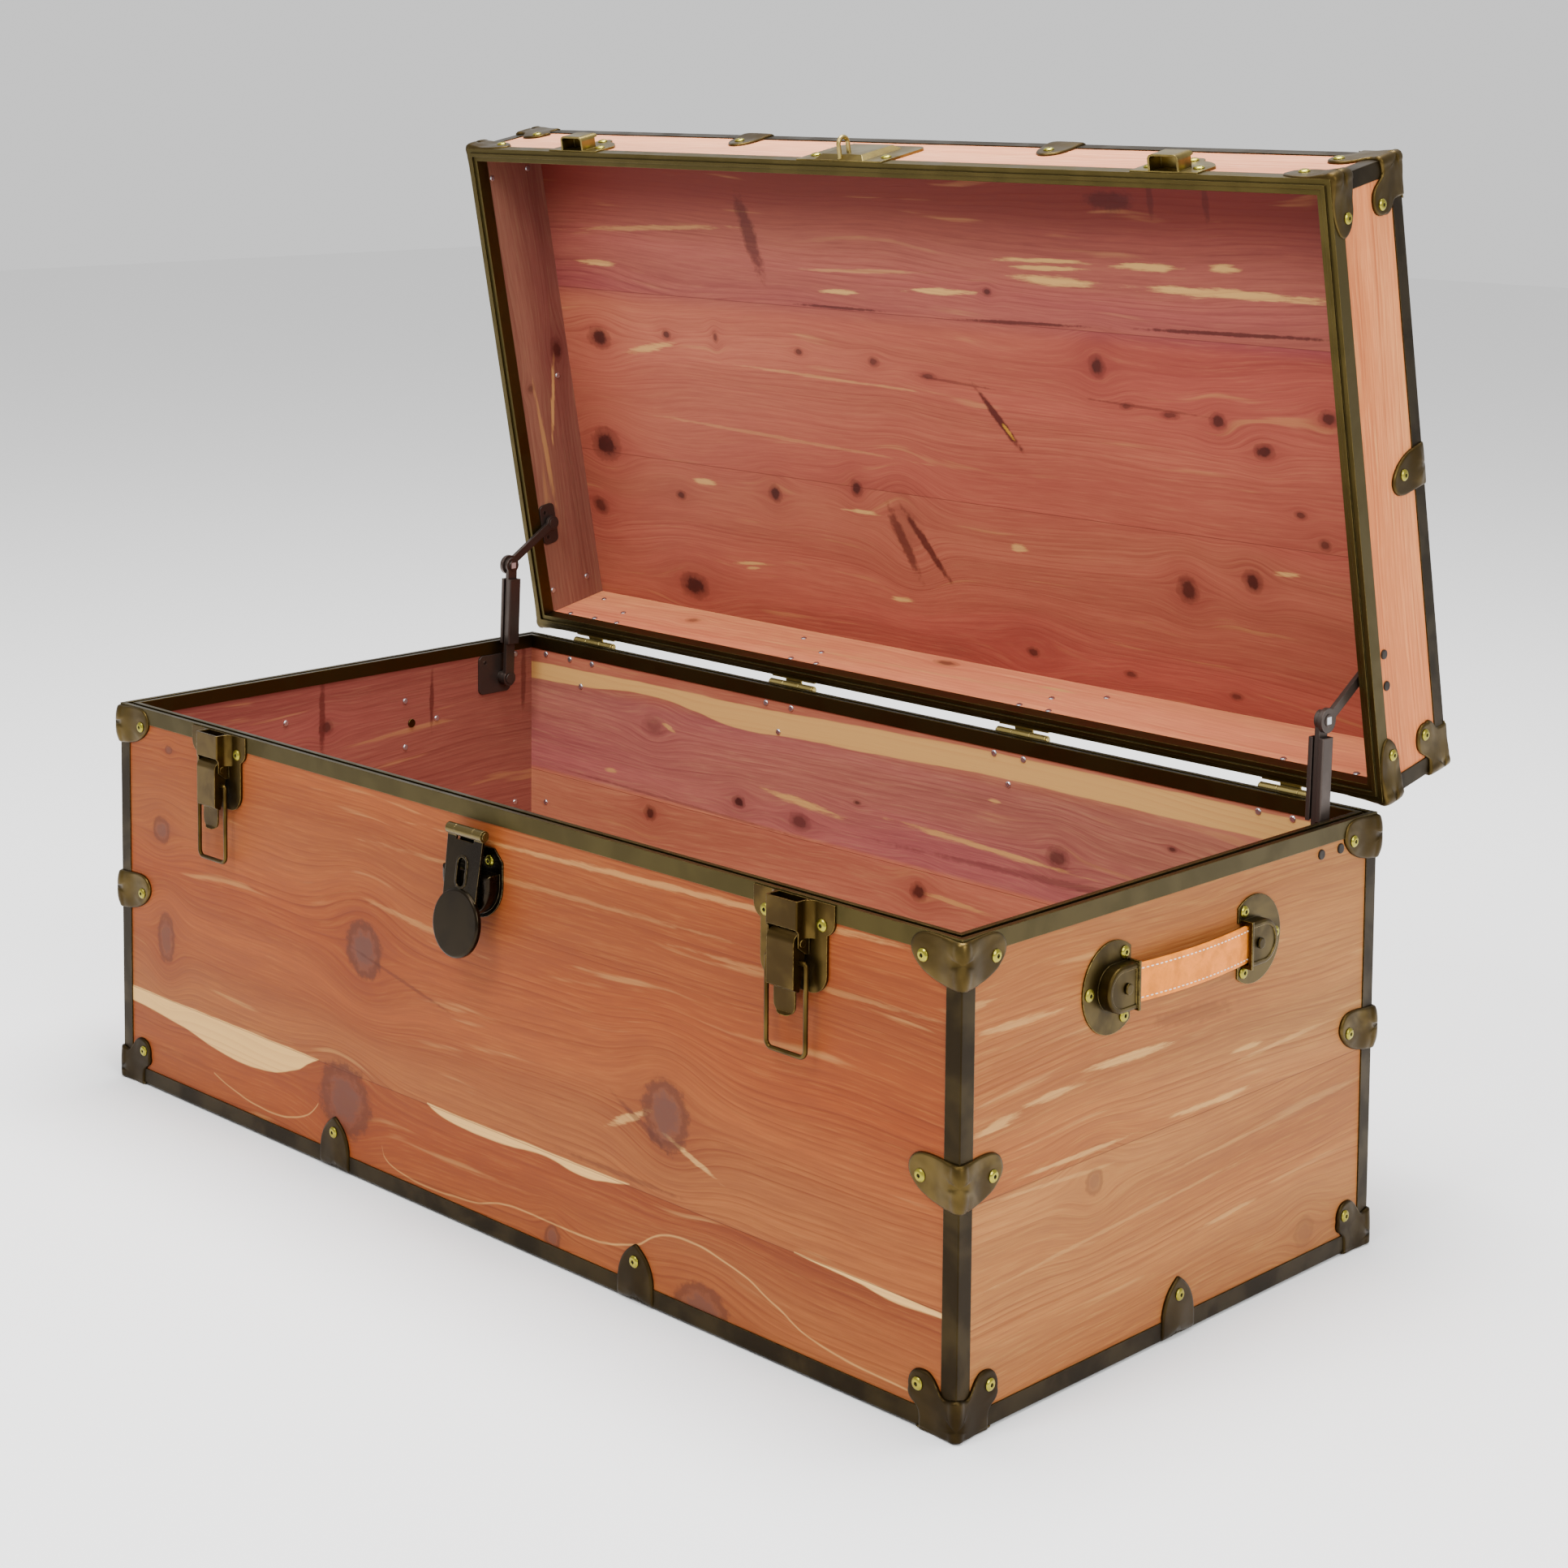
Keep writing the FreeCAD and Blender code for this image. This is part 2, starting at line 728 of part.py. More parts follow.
# Hinges
def hinge_leaf(up):
    """A butt-hinge leaf in the closed pose: plate, arm to the knuckle line, and its own knuckles."""
    half = hinge_width / 2
    axis_y = -hinge_axis_behind
    off_high = binding_sheet + hinge_sheet
    arm_outer = hinge_z + up * knuckle_radius
    arm_inner = arm_outer - up * hinge_sheet
    rivet_z = rim_height + up * rivet_row_drop
    tip_z = rivet_z + up * hinge_rivet_step
    point = hinge_point_round
    bend_x, bend_z = hinge_leaf_shares
    shoulder = rivet_z + up * point * bend_x
    bend = shoulder + up * point * bend_z
    plate = wall_plate((-half, arm_inner), [
        [(half, arm_inner)], [(half, shoulder)], [(half * bend_x, bend), (point, tip_z)],
        [(0, tip_z + up * point), (-point, tip_z)], [(-half * bend_x, bend), (-half, shoulder)]], 0, off_high)
    middle = middle_knuckle_width / 2
    if up > 0:
        spans = [(-middle, middle)]
    else:
        spans = [(-half, -middle - knuckle_gap), (middle + knuckle_gap, half)]
    pieces = [plate]
    arm_low, arm_high = sorted((arm_inner, arm_outer))
    for low, high in spans:
        arm = box(low, high, axis_y, -binding_sheet, arm_low, arm_high)
        knuckle = rod(V(low, axis_y, hinge_z), V(high, axis_y, hinge_z), knuckle_radius)
        pieces += [arm, knuckle]
    reach = half + overrun
    return fuse(pieces).cut(rod(V(-reach, axis_y, hinge_z), V(reach, axis_y, hinge_z), knuckle_bore))


def hinge_pin():
    half = hinge_width / 2
    bore_gap = knuckle_bore - hinge_pin_radius
    head = (knuckle_radius - hinge_pin_radius) / 2
    y = -hinge_axis_behind
    pieces = [rod(V(-half - bore_gap, y, hinge_z), V(half + bore_gap, y, hinge_z), hinge_pin_radius)]
    for end in (-1, 1):
        inner, outer = end * (half + bore_gap), end * (half + bore_gap + head)
        pieces.append(rod(V(inner, y, hinge_z), V(outer, y, hinge_z), hinge_pin_radius + head))
    return fuse(pieces)


def at_hinges(shape):
    return [on_side(shape.translated(V(x, 0, 0)), "back") for x in hinge_places]


# Draw latches, drawn round x = 0 on the front wall
latch_top = rim_height - latch_top_drop
plate_off = binding_sheet + latch_sheet
lever_pin_z = rim_height - lever_pin_drop
bail_pivot_z = rim_height - bail_pivot_drop
latch_x_places = {"left": -latch_place, "right": latch_place}


def latch_plate():
    """Riveted plate with the pressed housing that carries the lever's pin between its cheeks."""
    wing, body = latch_wing_half, latch_body_half
    wing_z = latch_top - latch_wing_height
    low_z = latch_top - latch_height
    c, foot = latch_corner, latch_foot_round
    mid, foot_mid = c * arc_share, foot * arc_share
    plate = wall_plate((-wing, latch_top), [
        [(wing, latch_top)], [(wing, wing_z + c)], [(wing - mid, wing_z + mid), (body, wing_z)],
        [(body, low_z + foot)], [(body - foot_mid, low_z + foot_mid), (body - foot, low_z)],
        [(foot - body, low_z)], [(foot_mid - body, low_z + foot_mid), (-body, low_z + foot)],
        [(-body, wing_z)], [(mid - wing, wing_z + mid), (-wing, wing_z + c)]], 0, plate_off)
    half, out, wall = housing_half, housing_standoff, housing_wall
    face_z = latch_top - housing_face_height
    cheek_z = latch_top - housing_cheek_height
    cheek_off = lever_pin_standoff + lever_round * housing_cheek_share
    nose = wall * 2
    outer = side_profile((0, latch_top), [
        [(out, latch_top)], [(out, face_z)], [(cheek_off, face_z - nose)], [(cheek_off, lever_pin_z - nose)],
        [(plate_off + nose, cheek_z)], [(0, cheek_z)]], -half, half)
    long_edges = [edge for edge in outer.Edges if abs(edge.Length - housing_face_height) < wall / 2
                  and all(abs(vertex.Point.y + out) < wall / 2 for vertex in edge.Vertexes)]
    outer = outer.makeFillet(wall * fold_round_share, long_edges)
    hollow = box(wall - half, half - wall, wall - out, -plate_off, cheek_z - overrun, latch_top + overrun)
    mouth = box(wall - half, half - wall, -out - overrun, -plate_off, cheek_z - overrun, face_z)
    flares = housing_flares(lever_pin_z + lever_pin_head_radius + rim_gap)
    reach = half + overrun
    y, z = -lever_pin_standoff, lever_pin_z
    body_shape = fuse([plate, outer, flares]).cut(hollow).cut(mouth)
    return body_shape.cut(rod(V(-reach, y, z), V(reach, y, z), lever_pin_bore))


def housing_flares(z_low):
    """The hollow curves by which the housing's two cheeks run out into the plate."""
    near, far = housing_half - housing_wall / 2, housing_half + housing_flare
    back, top = plate_off - latch_sheet / 2, plate_off + housing_flare
    bend = housing_flare * arc_share
    start = V(near, -back, z_low)
    wire = trace(start, [
        [V(far, -back, z_low)], [V(far, -plate_off, z_low)],
        [V(housing_half + bend, -plate_off - bend, z_low), V(housing_half, -top, z_low)],
        [V(near, -top, z_low)]])
    flare = Part.Face(wire).extrude(V(0, 0, latch_top - z_low))
    return flare.fuse(mirror_x(flare))


def latch_lever():
    """Pressed lever: a face that curls over the pin, two side flanges and the narrower finger tongue."""
    pin_off, r, t = lever_pin_standoff, lever_round, lever_sheet
    front = pin_off + r
    bottom = lever_pin_z - lever_face_height
    back = front - lever_tongue_setback
    low = bottom - lever_slope_height
    tip = low - lever_tongue_height
    diag = diagonal
    face = side_profile((pin_off, lever_pin_z + r), [
        [(pin_off + r * diag, lever_pin_z + r * diag), (front, lever_pin_z)], [(front, bottom)],
        [(back, low)], [(back, tip + lever_lip)], [(back + lever_lip, tip)], [(back + lever_lip - t, tip)],
        [(back - t, tip + lever_lip - t / 2)], [(back - t, low + t / 2)], [(front - t, bottom + t / 2)],
        [(front - t, lever_pin_z)],
        [(pin_off + (r - t) * diag, lever_pin_z + (r - t) * diag), (pin_off, lever_pin_z + r - t)]],
        -lever_half, lever_half)
    beside = lever_half - lever_tongue_half
    bend = lever_tongue_round
    for sign in (-1, 1):
        x_low, x_high = sorted((sign * lever_tongue_half, sign * (lever_tongue_half + beside + overrun)))
        face = face.cut(box(x_low, x_high, -front - overrun, 0, tip - overrun, low))
        middle_x = sign * (lever_tongue_half - bend)
        x_low, x_high = sorted((middle_x, sign * (lever_tongue_half + overrun)))
        corner = box(x_low, x_high, -front - overrun, 0, tip - overrun, tip + bend)
        round_end = rod(V(middle_x, overrun, tip + bend), V(middle_x, -front - 2 * overrun, tip + bend), bend)
        face = face.cut(corner.cut(round_end))
    side = [
        [(pin_off + r * diag, lever_pin_z + r * diag), (front, lever_pin_z)], [(front, bottom)],
        [(back, low)], [(back - t, low)], [(pin_off - lever_side_back, bail_pivot_z - lever_side_back)],
        [(pin_off - lever_side_back, bail_pivot_z)], [(pin_off - r, lever_pin_z)],
        [(pin_off - r * diag, lever_pin_z + r * diag), (pin_off, lever_pin_z + r)]]
    flanges = [side_profile((pin_off, lever_pin_z + r), side, low_x, low_x + t)
               for low_x in (-lever_half, lever_half - t)]
    body = fuse([face] + flanges)
    reach, y, z = lever_half + overrun, -bail_pivot_standoff, bail_pivot_z
    body = body.cut(rod(V(-reach, -pin_off, lever_pin_z), V(reach, -pin_off, lever_pin_z), lever_pin_bore))
    return body.cut(rod(V(-reach, y, z), V(reach, y, z), bail_wire / 2 + bail_bore_clearance))


def latch_bail():
    """Wire bail: two ends turned into the lever's flanges, two legs and a cross wire."""
    off = bail_pivot_standoff
    corner = bail_corner
    bend = corner * arc_share
    end_x = lever_half - lever_sheet - bail_end_reach
    top, low = bail_pivot_z, bail_pivot_z - bail_length

    def at(x, z):
        return V(x, -off, z)
    right_half = [
        at(end_x, top), at(bail_half - corner / 2, top), at(bail_half - bend / 2, top - bend / 2),
        at(bail_half, top - corner / 2), at(bail_half, low + corner), at(bail_half - bend, low + bend),
        at(bail_half - corner, low)]
    left_half = [V(-p.x, p.y, p.z) for p in reversed(right_half)]
    edges = []
    for run in (right_half, left_half):
        p = run
        if p is right_half:
            edges += [Part.LineSegment(p[0], p[1]).toShape(), Part.Arc(p[1], p[2], p[3]).toShape(),
                      Part.LineSegment(p[3], p[4]).toShape(), Part.Arc(p[4], p[5], p[6]).toShape(),
                      Part.LineSegment(p[6], left_half[0]).toShape()]
        else:
            edges += [Part.Arc(p[0], p[1], p[2]).toShape(), Part.LineSegment(p[2], p[3]).toShape(),
                      Part.Arc(p[3], p[4], p[5]).toShape(), Part.LineSegment(p[5], p[6]).toShape()]
    return wire_rod(edges, bail_wire / 2)


def wire_rod(edges, radius):
    """A round wire swept along a smooth path."""
    path = Part.Wire(edges)
    first = edges[0]
    start = first.valueAt(first.FirstParameter)
    circle = Part.Wire([Part.makeCircle(radius, start, first.tangentAt(first.FirstParameter))])
    return path.makePipeShell([circle], True, True)


def latch_pin():
    z, off = lever_pin_z, lever_pin_standoff
    gap = lever_pin_bore - lever_pin_radius
    reach = housing_half + gap
    pieces = [rod(V(-reach, -off, z), V(reach, -off, z), lever_pin_radius)]
    for end in (-1, 1):
        inner, outer = V(end * reach, -off, z), V(end * (reach + lever_pin_head), -off, z)
        pieces.append(rod(inner, outer, lever_pin_head_radius))
    return fuse(pieces)


def lid_catch():
    """Catch on the lid: riveted plate with an arched hook that is hollow towards the rim."""
    low, high = rim_height + catch_lift, rim_height + catch_height
    half, point = catch_half, latch_corner
    waist = rim_height + catch_rivet_rise + point
    tip = rim_height + catch_top_rivet
    side_x, dip = half * catch_shoulder_share, point * catch_point_share
    plate = wall_plate((-half, low), [
        [(half, low)], [(half, waist)], [(side_x, tip - dip), (point, tip)],
        [(0, high + dip), (-point, tip)], [(-side_x, tip - dip), (-half, waist)]], 0, plate_off)
    seat = bail_pivot_z + bail_length - bail_wire / 2 - catch_seat_clearance
    lip_off = bail_pivot_standoff + bail_wire / 2 + catch_seat_clearance
    front, wall = catch_lip_standoff, catch_hook_wall
    foot = seat - catch_face_height
    hook = side_profile((0, seat), [
        [(lip_off, seat)], [(lip_off + wall / 2, seat + catch_lip_rise)],
        [((lip_off + front + wall) / 2, seat + catch_lip_rise), (front, seat + catch_lip_rise - wall)],
        [(front, foot)], [(0, foot)]], -catch_hook_half, catch_hook_half)
    hook = hook.common(arch_prism(catch_hook_half, front, catch_hook_round, foot - overrun, seat + point))
    inner_half, inner_front, inner_round = catch_hook_half - wall, front - wall, catch_hook_round - wall
    hollow = arch_prism(inner_half, inner_front, inner_round, foot - overrun, seat - wall)
    hollow = hollow.cut(box(-half, half, -plate_off, 0, foot - 2 * overrun, seat))
    return fuse([plate, hook]).cut(hollow)


def arch_prism(half, front, bend, z_low, z_high):
    """An upright prism whose section is a flat arch with rounded shoulders standing off the wall."""
    mid = bend * arc_share
    wire = trace(V(-half, 0, z_low), [
        [V(half, 0, z_low)], [V(half, bend - front, z_low)],
        [V(half - mid, mid - front, z_low), V(half - bend, -front, z_low)], [V(bend - half, -front, z_low)],
        [V(mid - half, mid - front, z_low), V(-half, bend - front, z_low)]])
    return Part.Face(wire).extrude(V(0, 0, z_high - z_low))


# Hasp and lock
hasp_z = rim_height - hasp_pin_drop


def lock_plate():
    """Plate under the hasp with the hasp's middle knuckle on a tab, and the round-bottomed dome."""
    half, s = lock_plate_half, lock_plate_shoulder
    top = rim_height - lock_plate_top
    low = top - lock_plate_height
    plate = wall_plate((-half + s, top), [
        [(half - s, top)], [(half, top - s)], [(half, low + half)],
        [(half * diagonal, low + half * arc_share), (0, low)],
        [(-half * diagonal, low + half * arc_share), (-half, low + half)], [(-half, top - s)]],
        0, latch_sheet)
    dome_half, out = lock_dome_half, lock_dome_standoff
    dome_top = rim_height - lock_dome_drop
    dome_low = dome_top - lock_dome_height
    drop = lock_dome_height - dome_half
    dome = wall_plate((-dome_half, dome_top), [
        [(dome_half, dome_top)], [(dome_half, dome_top - drop)],
        [(dome_half * diagonal, dome_top - drop - dome_half * diagonal), (0, dome_low)],
        [(-dome_half * diagonal, dome_top - drop - dome_half * diagonal), (-dome_half, dome_top - drop)]],
        0, out)
    front_edges = [edge for edge in dome.Edges
                   if all(abs(vertex.Point.y + out) < lock_dome_round for vertex in edge.Vertexes)]
    dome = dome.makeFillet(lock_dome_round, front_edges)
    tab_half, reach = hasp_tab_half, hasp_half + overrun
    y, back = -hasp_pin_standoff, hasp_knuckle_radius - hasp_pin_standoff
    tab = box(-tab_half, tab_half, back - 2 * latch_sheet, back - latch_sheet, top - s, hasp_z)
    foot = box(-tab_half, tab_half, back - latch_sheet, 0, top - s, top - s + latch_sheet)
    knuckle = rod(V(-tab_half, y, hasp_z), V(tab_half, y, hasp_z), hasp_knuckle_radius)
    body = fuse([plate, dome, tab, foot, knuckle])
    return body.cut(rod(V(-reach, y, hasp_z), V(reach, y, hasp_z), hasp_pin_bore))


def hasp():
    """Swinging hasp, drawn hanging straight down from its pin and then tilted out onto the dome."""
    off, sheet = hasp_pin_standoff, hasp_sheet
    half, foot = hasp_half, hasp_foot_half
    disc_z = hasp_z - hasp_disc_drop
    r = hasp_disc_radius
    join = math.sqrt(r * r - foot * foot)
    back, face = off - sheet / 2, off + sheet / 2
    strap = wall_plate((-half, hasp_z), [
        [(half, hasp_z)], [(foot, disc_z + join)], [(r, disc_z), (0, disc_z - r)],
        [(-r, disc_z), (-foot, disc_z + join)]], back, face)
    front = face + hasp_disc_rise
    disc = rod(V(0, -back, disc_z), V(0, -front, disc_z), r)
    front_edges = [edge for edge in disc.Edges
                   if all(abs(vertex.Point.y + front) < sheet / 2 for vertex in edge.Vertexes)]
    disc = disc.makeFillet(hasp_disc_round, front_edges)
    knuckle = rod(V(-half, -off, hasp_z), V(half, -off, hasp_z), hasp_knuckle_radius)
    window = box(-hasp_window_half, hasp_window_half, -off - overrun - hasp_knuckle_radius, 0,
                 hasp_z - hasp_window_height, hasp_z + hasp_knuckle_radius + overrun)
    slot_middle = hasp_z - hasp_slot_top - hasp_slot_length / 2
    slot_rim = slot_prism(slot_middle, hasp_slot_rim, back, face + hasp_slot_rim_height)
    slot = slot_prism(slot_middle, 0, 0, front + overrun)
    reach = half + overrun
    bore = rod(V(-reach, -off, hasp_z), V(reach, -off, hasp_z), hasp_pin_bore)
    body = fuse([strap, disc, knuckle, slot_rim]).cut(window).cut(slot).cut(bore)
    body.rotate(V(0, -off, hasp_z), ALONG, -hasp_tilt)
    return body


def slot_prism(middle, margin, off_low, off_high):
    """A round-ended upright slot round x = 0, widened by the margin, between two heights off the wood."""
    w = hasp_slot_half + margin
    run = hasp_slot_length / 2 - hasp_slot_half
    return wall_plate((-w, middle + run), [
        [(0, middle + run + w), (w, middle + run)], [(w, middle - run)],
        [(0, middle - run - w), (-w, middle - run)]], off_low, off_high)


def hasp_pin():
    gap = hasp_pin_bore - hasp_pin_radius
    reach = hasp_half + gap
    head = hasp_pin_radius + (hasp_knuckle_radius - hasp_pin_radius) / 2
    y = -hasp_pin_standoff
    pieces = [rod(V(-reach, y, hasp_z), V(reach, y, hasp_z), hasp_pin_radius)]
    for end in (-1, 1):
        pieces.append(rod(V(end * reach, y, hasp_z), V(end * (reach + latch_sheet), y, hasp_z), head))
    return fuse(pieces)


staple_z = rim_height + staple_rise
staple_base_off = plate_off


def staple_edges():
    """The staple's path: two legs in an upright plane and the round bend between them."""
    radius = staple_spacing / 2
    tip = staple_base_off + staple_reach - staple_wire / 2 - radius
    a, b = V(0, -staple_base_off, staple_z + radius), V(0, -tip, staple_z + radius)
    c, d = V(0, -tip - radius, staple_z), V(0, -tip, staple_z - radius)
    e = V(0, -staple_base_off, staple_z - radius)
    return [Part.LineSegment(a, b).toShape(), Part.Arc(b, c, d).toShape(), Part.LineSegment(d, e).toShape()]


def hasp_staple():
    return wire_rod(staple_edges(), staple_wire / 2)


def staple_plate():
    """Plate on the lid with a raised boss that holds the staple's legs."""
    low = rim_height + staple_plate_lift
    high = low + staple_plate_height
    half, c = staple_plate_half, latch_corner
    mid = c * arc_share
    plate = wall_plate((-half, low), [
        [(half, low)], [(half, high - c)], [(half - mid, high - mid), (half - c, high)], [(c - half, high)],
        [(mid - half, high - mid), (-half, high - c)]], 0, plate_off)
    b_half, b_low = staple_boss_half, low + staple_plate_lift
    b_high = b_low + staple_boss_height
    slope = staple_boss_slope
    foot = Part.makePolygon([V(x, -plate_off, z) for x, z in (
        (-b_half, b_low), (b_half, b_low), (b_half, b_high), (-b_half, b_high), (-b_half, b_low))])
    crown = Part.makePolygon([V(x, -staple_boss_standoff, z) for x, z in (
        (slope - b_half, b_low + slope), (b_half - slope, b_low + slope), (b_half - slope, b_high - slope),
        (slope - b_half, b_high - slope), (slope - b_half, b_low + slope))])
    boss = Part.makeLoft([foot, crown], True, True)
    body = fuse([plate, boss])
    y_in, y_out = -staple_base_off, -staple_boss_standoff - overrun
    for sign in (-1, 1):
        leg_z = staple_z + sign * staple_spacing / 2
        body = body.cut(rod(V(0, y_in, leg_z), V(0, y_out, leg_z), staple_wire / 2))
    return body


# Handles, drawn round the middle of an end wall
stud_room = handle_shell_mouth - stud_head_radius
stud_x = handle_loop_place - handle_shell_mouth + stud_room * handle_stud_share


def handle_loop():
    """One pressed loop at +x: a riveted flange and a raised shell that is open towards the middle."""
    x0, z0 = handle_loop_place, handle_level
    r, cut = handle_flange_radius, handle_flange_cut
    chord = math.sqrt(r * r - cut * cut)
    flange = wall_plate((x0 - cut, z0 - chord), [
        [(x0 + r, z0), (x0 - cut, z0 + chord)]], 0, handle_sheet)
    half, out, wall = handle_shell_half, handle_shell_standoff, handle_shell_wall
    mouth = x0 - handle_shell_mouth

    def shell_solid(inset, height, x_low):
        h = half - inset
        return wall_plate((x_low, z0 - h), [
            [(x0, z0 - h)], [(x0 + h, z0), (x0, z0 + h)], [(x_low, z0 + h)]], 0, height)
    shell = shell_solid(0, out, mouth)
    crown = [edge for edge in shell.Edges if is_shell_crown(edge, out, mouth)]
    shell = shell.makeFillet(wall * handle_crown_share, crown)
    bead = shell_solid(-handle_bead, out + handle_bead, mouth).common(
        box(mouth, mouth + 2 * handle_bead, -out - 2 * handle_bead, 0, z0 - 2 * half, z0 + 2 * half))
    body = fuse([flange, shell, bead])
    body = body.cut(shell_solid(wall, out - wall, mouth - 2 * cut))
    recess = shell_solid(handle_ridge, 2 * out, mouth + handle_ridge)
    recess.translate(V(0, handle_recess - out, 0))
    body = body.cut(recess.common(box(mouth, x0 + half, -2 * out, handle_recess - out, z0 - half, z0 + half)))
    stud = rod(V(stud_x, 0, z0), V(stud_x, -out - overrun, z0), stud_radius)
    return body.cut(stud)


def is_shell_crown(edge, out, mouth):
    on_face = all(abs(vertex.Point.y + out) < handle_bead / 2 for vertex in edge.Vertexes)
    at_mouth = all(abs(vertex.Point.x - mouth) < handle_bead / 2 for vertex in edge.Vertexes)
    return on_face and not at_mouth


def handle_loops():
    loop = cut_all(handle_loop(), [rivet_hole(rivet_shank_radius, hole_reach, 0).translated(V(
        handle_loop_place + handle_rivet_circle * math.cos(math.radians(angle)), 0,
        handle_level + handle_rivet_circle * math.sin(math.radians(angle)))) for angle in loop_angles])
    return [loop, mirror_x(loop)]


def handle_strap():
    """Leather strap, drawn as a plain strip that bows out a little between the two loops."""
    bend = handle_loop_place - handle_shell_mouth + handle_bead
    end = stud_x + strap_end_past_stud
    low = strap_end_standoff - strap_thickness / 2
    high = strap_end_standoff + strap_thickness / 2
    start = V(-end, -low, handle_level - strap_width / 2)
    z = start.z
    wire = trace(start, [
        [V(-bend, -low, z)], [V(0, -low - strap_bow, z), V(bend, -low, z)], [V(end, -low, z)],
        [V(end, -high, z)], [V(bend, -high, z)], [V(0, -high - strap_bow, z), V(-bend, -high, z)],
        [V(-end, -high, z)]])
    strap = Part.Face(wire).extrude(V(0, 0, strap_width))
    z_stud = handle_level
    for sign in (-1, 1):
        x = sign * stud_x
        strap = strap.cut(rod(V(x, 0, z_stud), V(x, -handle_shell_standoff, z_stud), stud_radius))
    return strap


def handle_stud():
    top = handle_shell_standoff
    head = rod(V(0, -top, 0), V(0, -top - stud_head_height, 0), stud_head_radius)
    head = head.makeFillet(stud_head_height * stud_round_share, [head.Edges[0]])
    tail = rod(V(0, board, 0), V(0, board + stud_head_height, 0), stud_head_radius)
    return fuse([head, rod(V(0, -top, 0), V(0, board, 0), stud_radius), tail])


def stud_holes():
    return [placed_at(rod(V(0, -overrun, 0), V(0, board, 0), stud_radius), side, sign * stud_x, handle_level)
            for side in ("left", "right") for sign in (-1, 1)]


# Lid stays of the right end, drawn in world coordinates. The two arms and the two pivot lines make
# a parallelogram, so the elbow lies at the base pivot plus the step from the hinge line to the lid pivot.
stay_wall_x = inner_half_length
bar_x = stay_wall_x - stay_bar_inset
upper_x = bar_x + stay_bar / 2 + stay_layer_gap + stay_upper_sheet / 2
plate_x = stay_wall_x - stay_bracket_sheet


def turned_point(y, z, degrees):
    """A point turned about the hinge line."""
    angle = math.radians(degrees)
    dy, dz = y - hinge_y, z - hinge_z
    return (hinge_y + dy * math.cos(angle) - dz * math.sin(angle),
            hinge_z + dy * math.sin(angle) + dz * math.cos(angle))


base_pivot = (stay_base_y, stay_base_z)
lid_pivot = turned_point(stay_lid_y, stay_lid_z, -lid_open_angle)
elbow = (base_pivot[0] + lid_pivot[0] - hinge_y, base_pivot[1] + lid_pivot[1] - hinge_z)


def link_plate(start, end, x_middle, thick, half_width, eyes):
    """A straight flat arm between two pivots with a round eye at each."""
    length = math.hypot(end[0] - start[0], end[1] - start[1])
    x_low = x_middle - thick / 2
    bar = Part.makeBox(thick, length, 2 * half_width, V(x_low, 0, -half_width))
    ends = [rod(V(x_low, y, 0), V(x_low + thick, y, 0), eye) for y, eye in zip((0, length), eyes)]
    arm = fuse([bar] + ends)
    arm.rotate(V(0, 0, 0), ALONG, math.degrees(math.atan2(end[1] - start[1], end[0] - start[0])))
    arm.translate(V(0, start[0], start[1]))
    return arm


def pivot_rod(point, x_low, x_high, radius):
    return rod(V(x_low, point[0], point[1]), V(x_high, point[0], point[1]), radius)


def stay_lower_arm():
    inside = stay_sleeve_side / 2 - stay_sleeve_wall - stay_slide_gap
    arm = link_plate(base_pivot, elbow, bar_x, stay_bar, inside, (stay_eye_radius, stay_eye_radius))
    arm = arm.cut(pivot_rod(base_pivot, bar_x - stay_bar, bar_x + stay_bar, stay_pin_bore))
    inner_face = bar_x - stay_bar / 2
    outer_face = upper_x + stay_upper_sheet / 2 + stay_slide_gap
    rivet = [
        pivot_rod(elbow, inner_face - stay_head_height, inner_face, stay_head_radius),
        pivot_rod(elbow, inner_face, outer_face, stay_pin_radius),
        pivot_rod(elbow, outer_face, outer_face + stay_head_height / 2, stay_head_radius)]
    return fuse([arm] + rivet)


def stay_sleeve():
    side, wall = stay_sleeve_side, stay_sleeve_wall
    length = math.hypot(elbow[0] - base_pivot[0], elbow[1] - base_pivot[1])
    low, high = stay_sleeve_start, length - stay_sleeve_end_gap
    outer = box(bar_x - side / 2, bar_x + side / 2, low, high, -side / 2, side / 2)
    long_edges = [edge for edge in outer.Edges if abs(edge.Length - (high - low)) < wall]
    outer = outer.makeFillet(wall * fold_round_share, long_edges)
    inner = box(bar_x - side / 2 + wall, bar_x + side / 2 - wall, low - overrun, high + overrun,
                wall - side / 2, side / 2 - wall)
    slot = box(bar_x - stay_sleeve_slot / 2, bar_x + stay_sleeve_slot / 2, low - overrun, high + overrun,
               0, side)
    sleeve = outer.cut(inner).cut(slot)
    lean = math.atan2(elbow[1] - base_pivot[1], elbow[0] - base_pivot[0])
    sleeve.rotate(V(0, 0, 0), ALONG, math.degrees(lean))
    sleeve.translate(V(0, base_pivot[0], base_pivot[1]))
    return sleeve


def stay_upper_arm():
    eyes = (stay_elbow_eye_radius, stay_eye_radius - stay_layer_gap)
    arm = link_plate(elbow, lid_pivot, upper_x, stay_upper_sheet, stay_upper_width / 2, eyes)
    arm = arm.cut(pivot_rod(elbow, upper_x - stay_bar, upper_x + stay_bar, stay_pin_bore))
    return arm.cut(pivot_rod(lid_pivot, upper_x - stay_bar, upper_x + stay_bar, stay_open_pivot_bore))


